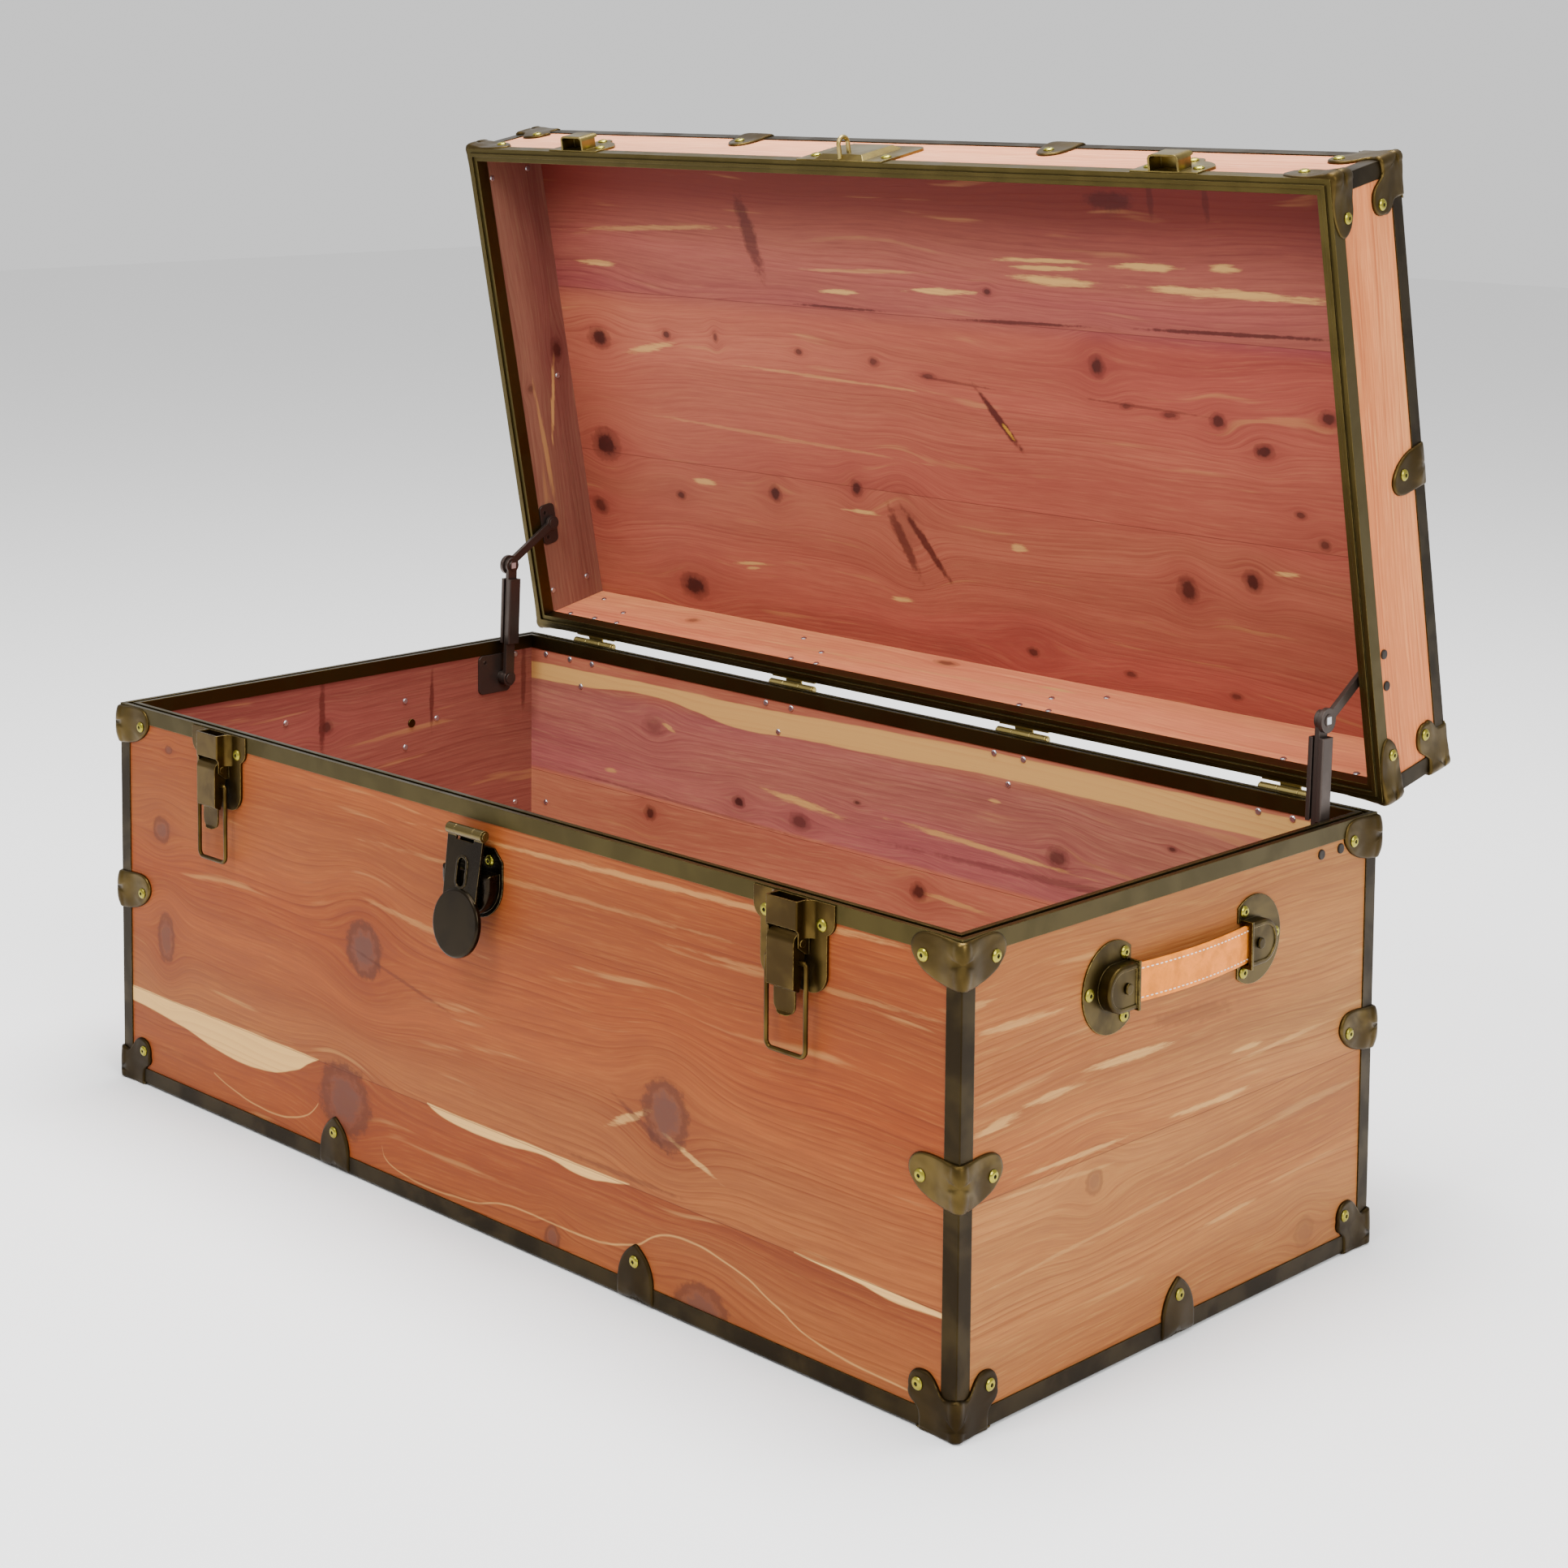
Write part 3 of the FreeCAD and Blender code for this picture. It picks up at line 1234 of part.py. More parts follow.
def bracket_plate(y_centre, z_low, z_high):
    r = stay_bracket_round
    half = stay_bracket_width / 2
    m = r * arc_share

    def at(y, z):
        return V(plate_x, y_centre + y, z)
    wire = trace(at(-half, z_low + r), [
        [at(m - half, z_low + m), at(r - half, z_low)], [at(half - r, z_low)],
        [at(half - m, z_low + m), at(half, z_low + r)], [at(half, z_high - r)],
        [at(half - m, z_high - m), at(half - r, z_high)], [at(r - half, z_high)],
        [at(m - half, z_high - m), at(-half, z_high - r)]])
    return Part.Face(wire).extrude(V(stay_bracket_sheet, 0, 0))


def stay_base_bracket():
    high = base_rim_top - rim_inner_leg - rim_gap
    inner_end = bar_x - stay_bar / 2 - stay_slide_gap
    boss_end = bar_x + stay_bar / 2 + stay_layer_gap
    pieces = [
        bracket_plate(stay_base_bracket_centre, high - stay_base_bracket_height, high),
        pivot_rod(base_pivot, boss_end, plate_x, stay_eye_radius - stay_layer_gap),
        pivot_rod(base_pivot, inner_end, plate_x, stay_pin_radius),
        pivot_rod(base_pivot, inner_end - stay_head_height, inner_end, stay_head_radius)]
    return cut_all(fuse(pieces), base_screw_holes)


def stay_lid_bracket():
    """Bracket in the closed pose: plate clear of the rim channel, with the pin for the upper arm."""
    low = lid_rim_bottom + rim_inner_leg + rim_gap
    point = (stay_lid_y, stay_lid_z)
    inner_end = upper_x - stay_upper_sheet / 2 - stay_slide_gap
    pieces = [
        bracket_plate(stay_lid_bracket_centre, low, low + stay_lid_bracket_height),
        pivot_rod(point, inner_end, plate_x, stay_pin_radius),
        pivot_rod(point, inner_end - stay_head_height / 2, inner_end, stay_head_radius)]
    return cut_all(fuse(pieces), lid_screw_holes)


# Assembly
def at_latches(shape):
    return {name: shape.translated(V(x, -half_depth, 0)) for name, x in latch_x_places.items()}


def front(shape):
    return on_side(shape, "front")


def compound(shapes):
    return Part.makeCompound([solid for shape in shapes for solid in solids_of(shape)])


nodes = {}
base_leg_top = base_rim_top - rim_outer_leg
bottom_leg_top = wood_bottom + binding_leg - binding_sheet
lid_leg_low = lid_rim_bottom + rim_outer_leg
top_leg_low = trunk_height - binding_leg + binding_sheet
for side in SIDES:
    nodes["base_" + side + "_panel"] = base_panel(side)
    nodes["lid_" + side + "_panel"] = lid_panel(side)
nodes["base_floor_panel"] = level_boards(floor_boards, wood_bottom, wood_bottom + board, [])
nodes["lid_top_panel"] = open_lid(level_boards(lid_boards, trunk_height - board, trunk_height, []))

base_channel = base_rim()
base_uprights = corner_strips(bottom_leg_top, base_leg_top)
base_edgings = level_strips(wood_bottom, 1)
base_trim = solids_of(base_channel) + base_uprights + base_edgings
nodes["base_rim_channel"] = base_channel
nodes["base_corner_bindings"] = compound([cut_all(strip, base_holes) for strip in base_uprights])
nodes["base_bottom_bindings"] = compound([cut_all(strip, base_holes) for strip in base_edgings])
base_tools = base_trim + base_holes
nodes["base_rim_corner_caps"] = compound([cut_all(cap, base_tools) for cap in rim_caps()])
nodes["base_edge_clamps"] = compound([cut_all(cap, base_tools) for cap in edge_clamps()])
nodes["base_foot_caps"] = compound([cut_all(cap, base_tools) for cap in three_face_caps()])
nodes["base_bottom_clamps"] = compound([cut_all(cap, base_tools) for cap in bottom_clamps()])
nodes["base_rivets"] = compound(rivets_at(base_spots))
base_leaf = hinge_leaf(-1)
nodes["hinge_base_leaves"] = compound([cut_all(leaf, base_tools) for leaf in at_hinges(base_leaf)])
nodes["hinge_pins"] = compound(at_hinges(hinge_pin()))

lid_channel = lid_rim()
lid_uprights = corner_strips(lid_leg_low, top_leg_low)
lid_edgings = level_strips(trunk_height, -1)
lid_tools = solids_of(lid_channel) + lid_uprights + lid_edgings + lid_holes
lid_top_caps = [cap.mirror(V(0, 0, (trunk_height + proud) / 2), UP) for cap in three_face_caps()]
nodes["lid_rim_channel"] = open_lid(lid_channel)
nodes["lid_corner_bindings"] = open_lid(compound([cut_all(strip, lid_holes) for strip in lid_uprights]))
nodes["lid_top_bindings"] = open_lid(compound([cut_all(strip, lid_holes) for strip in lid_edgings]))
nodes["lid_rim_corner_caps"] = open_lid(compound([cut_all(cap, lid_tools) for cap in lid_rim_caps()]))
nodes["lid_top_corner_caps"] = open_lid(compound([cut_all(cap, lid_tools) for cap in lid_top_caps]))
nodes["lid_edge_clamps"] = open_lid(compound([cut_all(cap, lid_tools) for cap in lid_clamps()]))
nodes["lid_rivets"] = open_lid(compound(rivets_at(lid_spots)))
lid_leaves = at_hinges(hinge_leaf(1))
nodes["hinge_lid_leaves"] = open_lid(compound([cut_all(leaf, lid_tools) for leaf in lid_leaves]))

for name, plate in at_latches(latch_plate()).items():
    nodes[name + "_latch_plate"] = cut_all(plate, base_tools)
for name, lever in at_latches(latch_lever()).items():
    nodes[name + "_latch_lever"] = lever
for name, bail in at_latches(latch_bail()).items():
    nodes[name + "_latch_bail"] = bail
for name, catch in at_latches(lid_catch()).items():
    nodes[name + "_lid_catch"] = open_lid(cut_all(catch, lid_tools))
nodes["latch_pins"] = compound(at_latches(latch_pin()).values())

nodes["lock_plate"] = cut_all(front(lock_plate()), base_tools)
nodes["hasp"] = front(hasp())
nodes["hasp_pin"] = front(hasp_pin())
nodes["hasp_staple_plate"] = open_lid(cut_all(front(staple_plate()), lid_tools))
nodes["hasp_staple"] = open_lid(front(hasp_staple()))

studs = []
for side in ("left", "right"):
    nodes[side + "_handle_strap"] = on_side(handle_strap(), side)
    nodes[side + "_handle_loops"] = compound([on_side(loop, side) for loop in handle_loops()])
    studs += [placed_at(handle_stud(), side, sign * stud_x, handle_level) for sign in (-1, 1)]
nodes["handle_studs"] = compound(studs)

stay_parts = {
    "stay_base_bracket": stay_base_bracket(), "stay_lower_arm": stay_lower_arm(),
    "stay_sleeve": stay_sleeve(), "stay_upper_arm": stay_upper_arm(),
    "stay_lid_bracket": open_lid(stay_lid_bracket())}
for name, shape in stay_parts.items():
    nodes["right_" + name] = shape
    nodes["left_" + name] = mirror_x(shape)
nodes["stay_base_screws"] = compound(screws_at(base_screws))
nodes["stay_lid_screws"] = open_lid(compound(screws_at(lid_screws)))

os.makedirs("parts", exist_ok=True)
for name, shape in nodes.items():
    if not shape.isValid():
        raise ValueError(name + " is not a valid shape")
    shape.exportStep("parts/" + name + ".step")
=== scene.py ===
"""Dresses an open cedar trunk: boards, steel trim, pressed caps, latches, hasp, handles and lid stays."""
import math
from collections import namedtuple

import bpy
import numpy as np
from mathutils import Matrix, Vector


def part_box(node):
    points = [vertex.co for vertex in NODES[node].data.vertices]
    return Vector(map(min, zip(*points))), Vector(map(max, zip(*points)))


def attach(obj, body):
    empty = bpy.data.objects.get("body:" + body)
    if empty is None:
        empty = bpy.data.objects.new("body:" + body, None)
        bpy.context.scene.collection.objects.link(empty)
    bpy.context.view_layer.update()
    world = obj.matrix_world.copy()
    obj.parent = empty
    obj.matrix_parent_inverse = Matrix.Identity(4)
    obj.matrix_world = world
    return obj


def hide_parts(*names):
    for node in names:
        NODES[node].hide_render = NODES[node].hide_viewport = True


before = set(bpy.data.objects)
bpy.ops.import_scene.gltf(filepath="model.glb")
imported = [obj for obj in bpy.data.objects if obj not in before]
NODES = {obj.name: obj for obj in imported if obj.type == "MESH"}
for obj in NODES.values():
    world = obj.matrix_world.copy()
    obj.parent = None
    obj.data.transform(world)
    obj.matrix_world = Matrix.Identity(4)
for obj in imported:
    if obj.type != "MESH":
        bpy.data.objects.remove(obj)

bl_info = {
    "name": "Cedar trunk",
    "version": (1, 0, 0),
    "blender": (4, 5, 0),
    "location": "View3D > Sidebar > Trunk",
    "description": "Finishes an open cedar trunk piece by piece",
    "category": "Object",
}

MM = 0.001
SIDES = ("front", "right", "back", "left")

# Sizes of the case that the pieces are laid out from, in metres
HALF_LENGTH = 457.2 * MM
HALF_DEPTH = 228.6 * MM
HEIGHT = 406.4 * MM
RIM = 320.0 * MM
BOARD = 9.5 * MM
BINDING_LEG = 12.7 * MM
BINDING_SHEET = 1.0 * MM
CAP_PROUD = 2.2 * MM
CLAMP_TOP = 178.0 * MM
FOLD_RISE = 1.19 * MM
FOLD_SPREAD = 2.6 * MM
RIM_LEG = 12.4 * MM
LID_ANGLE = math.radians(79.0)
HINGE_LINE = (236.1 * MM, 318.5 * MM)


def size_property(name, description, default):
    """A length that a user would change, in metres."""
    return bpy.props.FloatProperty(name=name, description=description, default=default, unit="LENGTH")


def colour_property(name, description, default):
    """A colour that a user would change, as linear red, green and blue."""
    return bpy.props.FloatVectorProperty(
        name=name, description=description, default=default, subtype="COLOR", size=3)


class TrunkSizes(bpy.types.PropertyGroup):
    cap_fold: size_property("Cap fold", "Radius left in the wood's corner under a folded cap", 2.6 * MM)
    cap_bulge: size_property("Cap bulge", "How far a pressed cap stands out over the binding", 2.2 * MM)
    cap_edge: size_property("Cap edge", "Width of a cap's rolled edge", 1.8 * MM)
    strap_width: size_property("Strap width", "Width of a leather handle", 26.0 * MM)
    strap_thickness: size_property("Strap thickness", "Thickness of a leather handle", 3.2 * MM)
    stitch_pitch: size_property("Stitch pitch", "Distance between stitches along a handle", 4.4 * MM)
    stitch_inset: size_property("Stitch inset", "Distance of the stitches from a handle's edge", 3.2 * MM)


class TrunkColours(bpy.types.PropertyGroup):
    outside: colour_property("Outside cedar", "Main colour of the boards outside", (0.232, 0.048, 0.008))
    outside_dark: colour_property(
        "Outside grain", "Colour of the dark growth lines outside", (0.104, 0.0145, 0.0022))
    inside: colour_property("Inside cedar", "Main colour of the boards inside", (0.35, 0.069, 0.043))
    inside_dark: colour_property(
        "Inside grain", "Colour of the dark growth lines inside", (0.165, 0.022, 0.0155))
    rose: colour_property("Rose cedar", "Main colour of the rose heartwood inside", (0.27, 0.044, 0.05))
    rose_dark: colour_property(
        "Rose grain", "Dark growth lines of the rose heartwood", (0.1, 0.0115, 0.0165))
    # Painted shadow: the brown that darkens the lid's inside along its front, standing in for the front
    # wall's shadow
    painted_shadow: colour_property(
        "Painted shadow", "Brown painted shadow on the lid's inside along its front wall", (0.115, 0.0125, 0.0085))
    sapwood: colour_property("Sapwood", "Colour of the pale bands and streaks", (0.62, 0.36, 0.115))
    knot: colour_property(
        "Knots", "Colour of the knots inside and of dark marks", (0.026, 0.0075, 0.0065))
    knot_outside: colour_property(
        "Outside knots", "Colour of the knots' cores outside", (0.085, 0.036, 0.026))
    knot_ring: colour_property(
        "Knot rings", "Colour of the rings round the knots outside", (0.05, 0.018, 0.01))
    resin: colour_property("Resin", "Colour of the resin in the long mark of the lid", (0.42, 0.2, 0.02))
    brass: colour_property("Antique brass", "Tarnished face of the pressed caps", (0.041, 0.0255, 0.0072))
    brass_worn: colour_property(
        "Worn brass", "Brass where its edges and bulges are rubbed", (0.3, 0.21, 0.065))
    foot: colour_property(
        "Foot brass", "Darkened face of the caps and clamps near the floor", (0.023, 0.0145, 0.0056))
    rim: colour_property("Rim", "Olive brown of the base's rim channel", (0.048, 0.0355, 0.0105))
    # Painted light: the base rim's olive brown made 1.35 times lighter, for the lid's rim channel that
    # catches more light
    lid_rim: colour_property(
        "Lid rim painted lighter", "The rim's olive brown painted lighter, for the lid's rim channel", (0.0648, 0.047925, 0.014175))
    binding: colour_property("Binding", "Dark coated steel of the edge bindings", (0.0175, 0.0115, 0.005))
    latch: colour_property("Latches", "Aged face of the draw latches", (0.036, 0.0205, 0.005))
    latch_worn: colour_property("Latch edges", "Rubbed edges of the draw latches", (0.28, 0.185, 0.05))
    catch: colour_property(
        "Catches", "Rubbed face of the lid's catches and staple plate", (0.085, 0.06, 0.017))
    catch_worn: colour_property(
        "Catch edges", "Bright edges of the lid's catches and staple plate", (0.42, 0.32, 0.1))
    hasp: colour_property("Hasp", "Dark bronze of the hasp and its lock", (0.0095, 0.0058, 0.0028))
    hasp_worn: colour_property("Hasp edges", "Rubbed edges of the hasp and its lock", (0.24, 0.17, 0.07))
    knuckle: colour_property(
        "Hasp knuckle", "Golden bronze of the hasp's rolled end", (0.1, 0.072, 0.022))
    hinge: colour_property("Hinges", "Bright brass of the hinges and the staple", (0.28, 0.21, 0.065))
    hinge_worn: colour_property(
        "Hinge edges", "Rubbed edges of the hinges and the staple", (0.56, 0.44, 0.16))
    loop: colour_property("Handle loops", "Aged face of the handles' loops", (0.034, 0.022, 0.006))
    loop_worn: colour_property("Loop edges", "Rubbed edges of the handles' loops", (0.3, 0.21, 0.058))
    rivet: colour_property("Rivets", "Bright brass of the rivets", (0.3, 0.265, 0.03))
    rivet_dull: colour_property(
        "Dull rivets", "Brass of the rivets where it has dulled", (0.22, 0.165, 0.022))
    steel: colour_property("Clinched ends", "Steel of the rivets' ends inside", (0.62, 0.62, 0.66))
    steel_dull: colour_property(
        "Dull clinched ends", "Steel of the rivets' ends where it has dulled", (0.4, 0.4, 0.43))
    stay: colour_property("Stays", "Bronze paint of the lid stays", (0.055, 0.04, 0.033))
    stay_worn: colour_property("Stay edges", "Rubbed edges of the lid stays", (0.14, 0.1, 0.08))
    elbow: colour_property("Stay rivets", "Silvery rivets of the stays' elbows", (0.62, 0.62, 0.64))
    screw: colour_property("Screws", "Blackened face of the stays' screws", (0.02, 0.015, 0.012))
    screw_worn: colour_property("Screw edges", "Rubbed edges of the stays' screws", (0.16, 0.12, 0.09))
    # Dark colour blended into the metal's hollows; in the rivets' dimples it is painted shade
    hollow_dark: colour_property("Dirt", "Dark colour in the metal's hollows, painted shade in the rivets' dimples", (0.01, 0.008, 0.005))
    leather: colour_property("Leather", "Tan leather of the handles", (0.78, 0.222, 0.014))
    crease: colour_property("Creases", "Colour of the creases in the leather", (0.38, 0.14, 0.04))
    thread: colour_property("Thread", "Thread of the handles' stitches", (0.86, 0.74, 0.6))


# Node trees


class Board:
    """Lays out the nodes of one tree, each with its inputs fed by values or by other nodes' sockets."""

    def __init__(self, tree):
        self.tree = tree

    def put(self, kind, feeds=None, **settings):
        """A new node with its settings, and its inputs fed."""
        made = self.tree.nodes.new(kind)
        for name, value in settings.items():
            setattr(made, name, value)
        for name, value in (feeds or {}).items():
            self.feed(made.inputs[name], value)
        return made

    def feed(self, socket, value):
        """Links the socket to another one, or gives it the value."""
        if isinstance(value, bpy.types.NodeSocket):
            self.tree.links.new(value, socket)
        else:
            socket.default_value = value

    def math(self, operation, a, b=0.0, c=0.0, clamp=False):
        """The result of one step of arithmetic."""
        node = self.put("ShaderNodeMath", {0: a, 1: b, 2: c}, operation=operation, use_clamp=clamp)
        return node.outputs[0]

    def times(self, a, b, clamp=False):
        """a * b"""
        return self.math("MULTIPLY", a, b, clamp=clamp)

    def plus(self, a, b):
        """a + b"""
        return self.math("ADD", a, b)

    def scaled(self, value, factor, start=0.0):
        """value * factor + start"""
        return self.math("MULTIPLY_ADD", value, factor, start)

    def larger(self, a, b):
        """The larger one of two values."""
        return self.math("MAXIMUM", a, b)

    def vector(self, operation, a, b=(0, 0, 0)):
        """The result of one step of vector arithmetic."""
        node = self.put("ShaderNodeVectorMath", {0: a, 1: b}, operation=operation)
        return node.outputs["Value"] if operation in ("LENGTH", "DOT_PRODUCT") else node.outputs["Vector"]

    def blend(self, share, a, b, mode="MIX"):
        """Colour a with that share of colour b over it."""
        node = self.put("ShaderNodeMix", data_type="RGBA", blend_type=mode)
        for index, value in ((0, share), (6, a), (7, b)):
            self.feed(node.inputs[index], self.colour(value))
        return node.outputs[2]

    @staticmethod
    def colour(value):
        """A colour with its alpha; sockets and plain numbers pass as they are."""
        if isinstance(value, bpy.types.NodeSocket) or isinstance(value, (int, float)):
            return value
        return (*value[:3], 1.0)

    def span(self, value, low, high, out_low=0.0, out_high=1.0, smooth=True):
        """The value carried from low and high to out_low and out_high, and held beyond them."""
        node = self.put(
            "ShaderNodeMapRange",
            {"Value": value, "From Min": low, "From Max": high, "To Min": out_low, "To Max": out_high},
            interpolation_type="SMOOTHSTEP" if smooth else "LINEAR")
        return node.outputs["Result"]

    def noise(self, place, scale, detail=3.0, rough=0.5, distortion=0.0):
        """Noise from 0 to 1 at that place."""
        node = self.put("ShaderNodeTexNoise", {
            "Vector": place, "Scale": scale, "Detail": detail, "Roughness": rough,
            "Distortion": distortion})
        return node.outputs["Fac"]

    def curve(self, value, points):
        """The height at that place of a smooth curve through the points."""
        node = self.put("ShaderNodeFloatCurve", {"Value": value})
        run = node.mapping.curves[0]
        run.points[0].location, run.points[-1].location = points[0], points[-1]
        for point in points[1:-1]:
            run.points.new(*point)
        node.mapping.update()
        return node.outputs[0]

    def stretched(self, place, scale):
        """The place with each coordinate multiplied by its own scale."""
        return self.vector("MULTIPLY", place, scale)

    def split(self, place):
        """The three coordinates of a place."""
        return self.put("ShaderNodeSeparateXYZ", {0: place}).outputs

    def join(self, x, y, z):
        """A place from its three coordinates."""
        return self.put("ShaderNodeCombineXYZ", {0: x, 1: y, 2: z}).outputs[0]

    def group(self, tree, feeds):
        """The outputs of a node group whose inputs are fed."""
        node = self.put("ShaderNodeGroup", node_tree=tree)
        for name, value in feeds.items():
            self.feed(node.inputs[name], value)
        return node.outputs


def new_group(name, takes, gives):
    """An empty node group with named sockets: its Board, the sockets that it takes and those it gives."""
    tree = bpy.data.node_groups.new(name, "ShaderNodeTree")
    for label, kind, default in takes:
        socket = tree.interface.new_socket(label, in_out="INPUT", socket_type=kind)
        if default is not None:
            socket.default_value = default
    for label, kind in gives:
        tree.interface.new_socket(label, in_out="OUTPUT", socket_type=kind)
    board = Board(tree)
    start = board.put("NodeGroupInput")
    end = board.put("NodeGroupOutput")
    return board, start.outputs, end.inputs


FLOAT, VECTOR = "NodeSocketFloat", "NodeSocketVector"


def once(name, make):
    """The node group of that name, made the first time that it is asked for."""
    found = bpy.data.node_groups.get(name)
    return found if found else make(name)


def make_closed_frame(name):
    """Turns the open lid's coordinates back to where its boards lie when it is shut."""
    board, takes, gives = new_group(name, [("Place", VECTOR, None)], [("Place", VECTOR)])
    pivot = (0.0, HINGE_LINE[0], HINGE_LINE[1])
    moved = board.vector("SUBTRACT", takes["Place"], pivot)
    turned = board.put(
        "ShaderNodeVectorRotate", {"Vector": moved, "Angle": LID_ANGLE}, rotation_type="X_AXIS").outputs[0]
    board.feed(gives["Place"], board.vector("ADD", turned, pivot))
    return board.tree


def make_knot(name):
    """One knot: adds its core, ring and halo to the masks that come in, and passes the grain on with its
    lines pushed aside so that they run round the knot."""
    board, takes, gives = new_group(
        name,
        [("Grain", VECTOR, None), ("Rough", FLOAT, 0.5), ("Centre", VECTOR, None), ("Size", VECTOR, None),
         ("Swirl", FLOAT, 2.2), ("Dark", FLOAT, 1.0), ("Core", FLOAT, 0.0), ("Ring", FLOAT, 0.0),
         ("Halo", FLOAT, 0.0)],
        [("Grain", VECTOR), ("Core", FLOAT), ("Ring", FLOAT), ("Halo", FLOAT)])
    scaled = board.put("ShaderNodeMapping", {
        "Vector": takes["Grain"], "Location": takes["Centre"], "Scale": takes["Size"]},
        vector_type="TEXTURE").outputs[0]
    r = board.vector("LENGTH", scaled)
    ragged = board.scaled(takes["Rough"], 0.8, board.plus(r, -0.4))
    core = board.times(board.span(ragged, 1.06, 0.5), takes["Dark"])
    board.feed(gives["Core"], board.larger(core, takes["Core"]))
    ring = board.times(board.span(ragged, 0.66, 0.98), board.span(ragged, 1.4, 1.08))
    ring = board.times(ring, takes["Dark"])
    board.feed(gives["Ring"], board.larger(ring, takes["Ring"]))
    reach = board.math("DIVIDE", r, takes["Swirl"])
    fall = board.math("EXPONENT", board.times(board.times(reach, reach), -1.0))
    halo = board.times(fall, takes["Dark"])
    board.feed(gives["Halo"], board.larger(halo, takes["Halo"]))
    pull = board.times(fall, -0.93)
    aside = board.vector("MULTIPLY", board.vector("SUBTRACT", takes["Grain"], takes["Centre"]), (0, 1, 0))
    pushed = board.vector("MULTIPLY", aside, board.join(pull, pull, pull))
    board.feed(gives["Grain"], board.vector("ADD", takes["Grain"], pushed))
    return board.tree


def make_cedar(name):
    """Figure of a sawn cedar board: wavy growth lines, broad tones, fine fibres and pale flecks.
    Grain runs along the first coordinate; lines are the level curves of the second one after it is
    bent by slow noise and pushed aside at knots."""
    board, takes, gives = new_group(
        name,
        [("Grain", VECTOR, None), ("Seed", FLOAT, 0.0), ("Waves", FLOAT, 0.03),
         ("Lines per metre", FLOAT, 130.0)],
        [("Line", FLOAT), ("Tone", FLOAT), ("Fibre", FLOAT), ("Fleck", FLOAT), ("Blush", FLOAT)])
    along, across, depth = board.split(takes["Grain"])
    seed = takes["Seed"]
    scaled = board.scaled

    def noise(x, y, z, detail, rough, scale=1.0):
        return board.noise(board.join(x, y, z), scale, detail, rough)

    bend = noise(scaled(along, 2.3, seed), scaled(across, 7.0, seed), scaled(depth, 4.0, seed), 2.0, 0.45)
    ripple = noise(scaled(along, 9.0, seed), scaled(across, 30.0), seed, 2.0, 0.5)
    shift = board.times(board.plus(bend, -0.5), scaled(takes["Waves"], 4.0))
    level = board.plus(across, shift)
    level = scaled(board.plus(ripple, -0.5), 0.0035, level)
    level = scaled(depth, 0.6, level)
    phase = board.times(level, takes["Lines per metre"])
    turn = scaled(noise(seed, phase, 0.0, 2.0, 0.6, scale=0.55), 2.4, phase)
    saw = board.math("FRACT", turn)
    late = board.times(board.math("POWER", saw, 2.6), board.span(saw, 1.0, 0.9))
    strength = noise(scaled(along, 1.5), scaled(turn, 0.31), seed, 2.0, 0.6)
    board.feed(gives["Line"], board.times(late, board.span(strength, 0.3, 0.72, 0.1, 1.35)))
    tone = noise(scaled(along, 1.4, seed), scaled(level, 22.0), seed, 4.0, 0.55)
    board.feed(gives["Tone"], board.span(tone, 0.32, 0.68, smooth=False))
    fibre = noise(scaled(along, 26.0), scaled(level, 620.0), scaled(depth, 500.0), 3.0, 0.65)
    board.feed(gives["Fibre"], fibre)
    fleck = noise(scaled(along, 6.5, seed), scaled(level, 90.0), scaled(depth, 20.0, seed), 3.0, 0.5)
    board.feed(gives["Fleck"], board.span(fleck, 0.63, 0.74))
    blush = noise(scaled(along, 0.9, seed), scaled(level, 7.0), seed, 2.0, 0.5)
    board.feed(gives["Blush"], board.span(blush, 0.3, 0.7, smooth=False))
    return board.tree


def make_wear(name):
    """Rubbed metal: masks where edges stick out and where the metal lies in a hollow, how open a place is,
    a broad soft tarnish, fine grit, and a normal with softened edges."""
    board, takes, gives = new_group(
        name,
        [("Place", VECTOR, None), ("Radius", FLOAT, 0.0009), ("Depth", FLOAT, 0.004)],
        [("Edge", FLOAT), ("Crevice", FLOAT), ("Open", FLOAT), ("Blotch", FLOAT), ("Grit", FLOAT),
         ("Normal", VECTOR)])
    bevel = board.put("ShaderNodeBevel", {"Radius": takes["Radius"]}, samples=6)
    plain = board.put("ShaderNodeNewGeometry").outputs["Normal"]
    agree = board.vector("DOT_PRODUCT", bevel.outputs[0], plain)
    edge = board.span(agree, 0.985, 0.80)
    shut = board.put("ShaderNodeAmbientOcclusion", {"Distance": takes["Depth"]}, samples=8, only_local=True)
    openness = shut.outputs["AO"]
    board.feed(gives["Open"], openness)
    board.feed(gives["Crevice"], board.span(openness, 0.86, 0.38))
    blotch = board.noise(takes["Place"], 26.0, 3.0, 0.55, 0.4)
    board.feed(gives["Grit"], board.noise(takes["Place"], 1400.0, 2.0, 0.6))
    torn = board.span(board.noise(takes["Place"], 420.0, 3.0, 0.6), 0.30, 0.58)
    board.feed(gives["Edge"], board.times(edge, torn, clamp=True))
    board.feed(gives["Blotch"], board.span(blotch, 0.36, 0.66))
    board.feed(gives["Normal"], bevel.outputs[0])
    return board.tree


def new_material(name):
    """An empty material: itself, its Board, its shader's inputs and the coordinates of the object."""
    made = bpy.data.materials.new(name)
    made.use_nodes = True
    made.node_tree.nodes.clear()
    board = Board(made.node_tree)
    shader = board.put("ShaderNodeBsdfPrincipled")
    end = board.put("ShaderNodeOutputMaterial")
    made.node_tree.links.new(shader.outputs[0], end.inputs["Surface"])
    place = board.put("ShaderNodeTexCoord").outputs["Object"]
    return made, board, shader.inputs, place


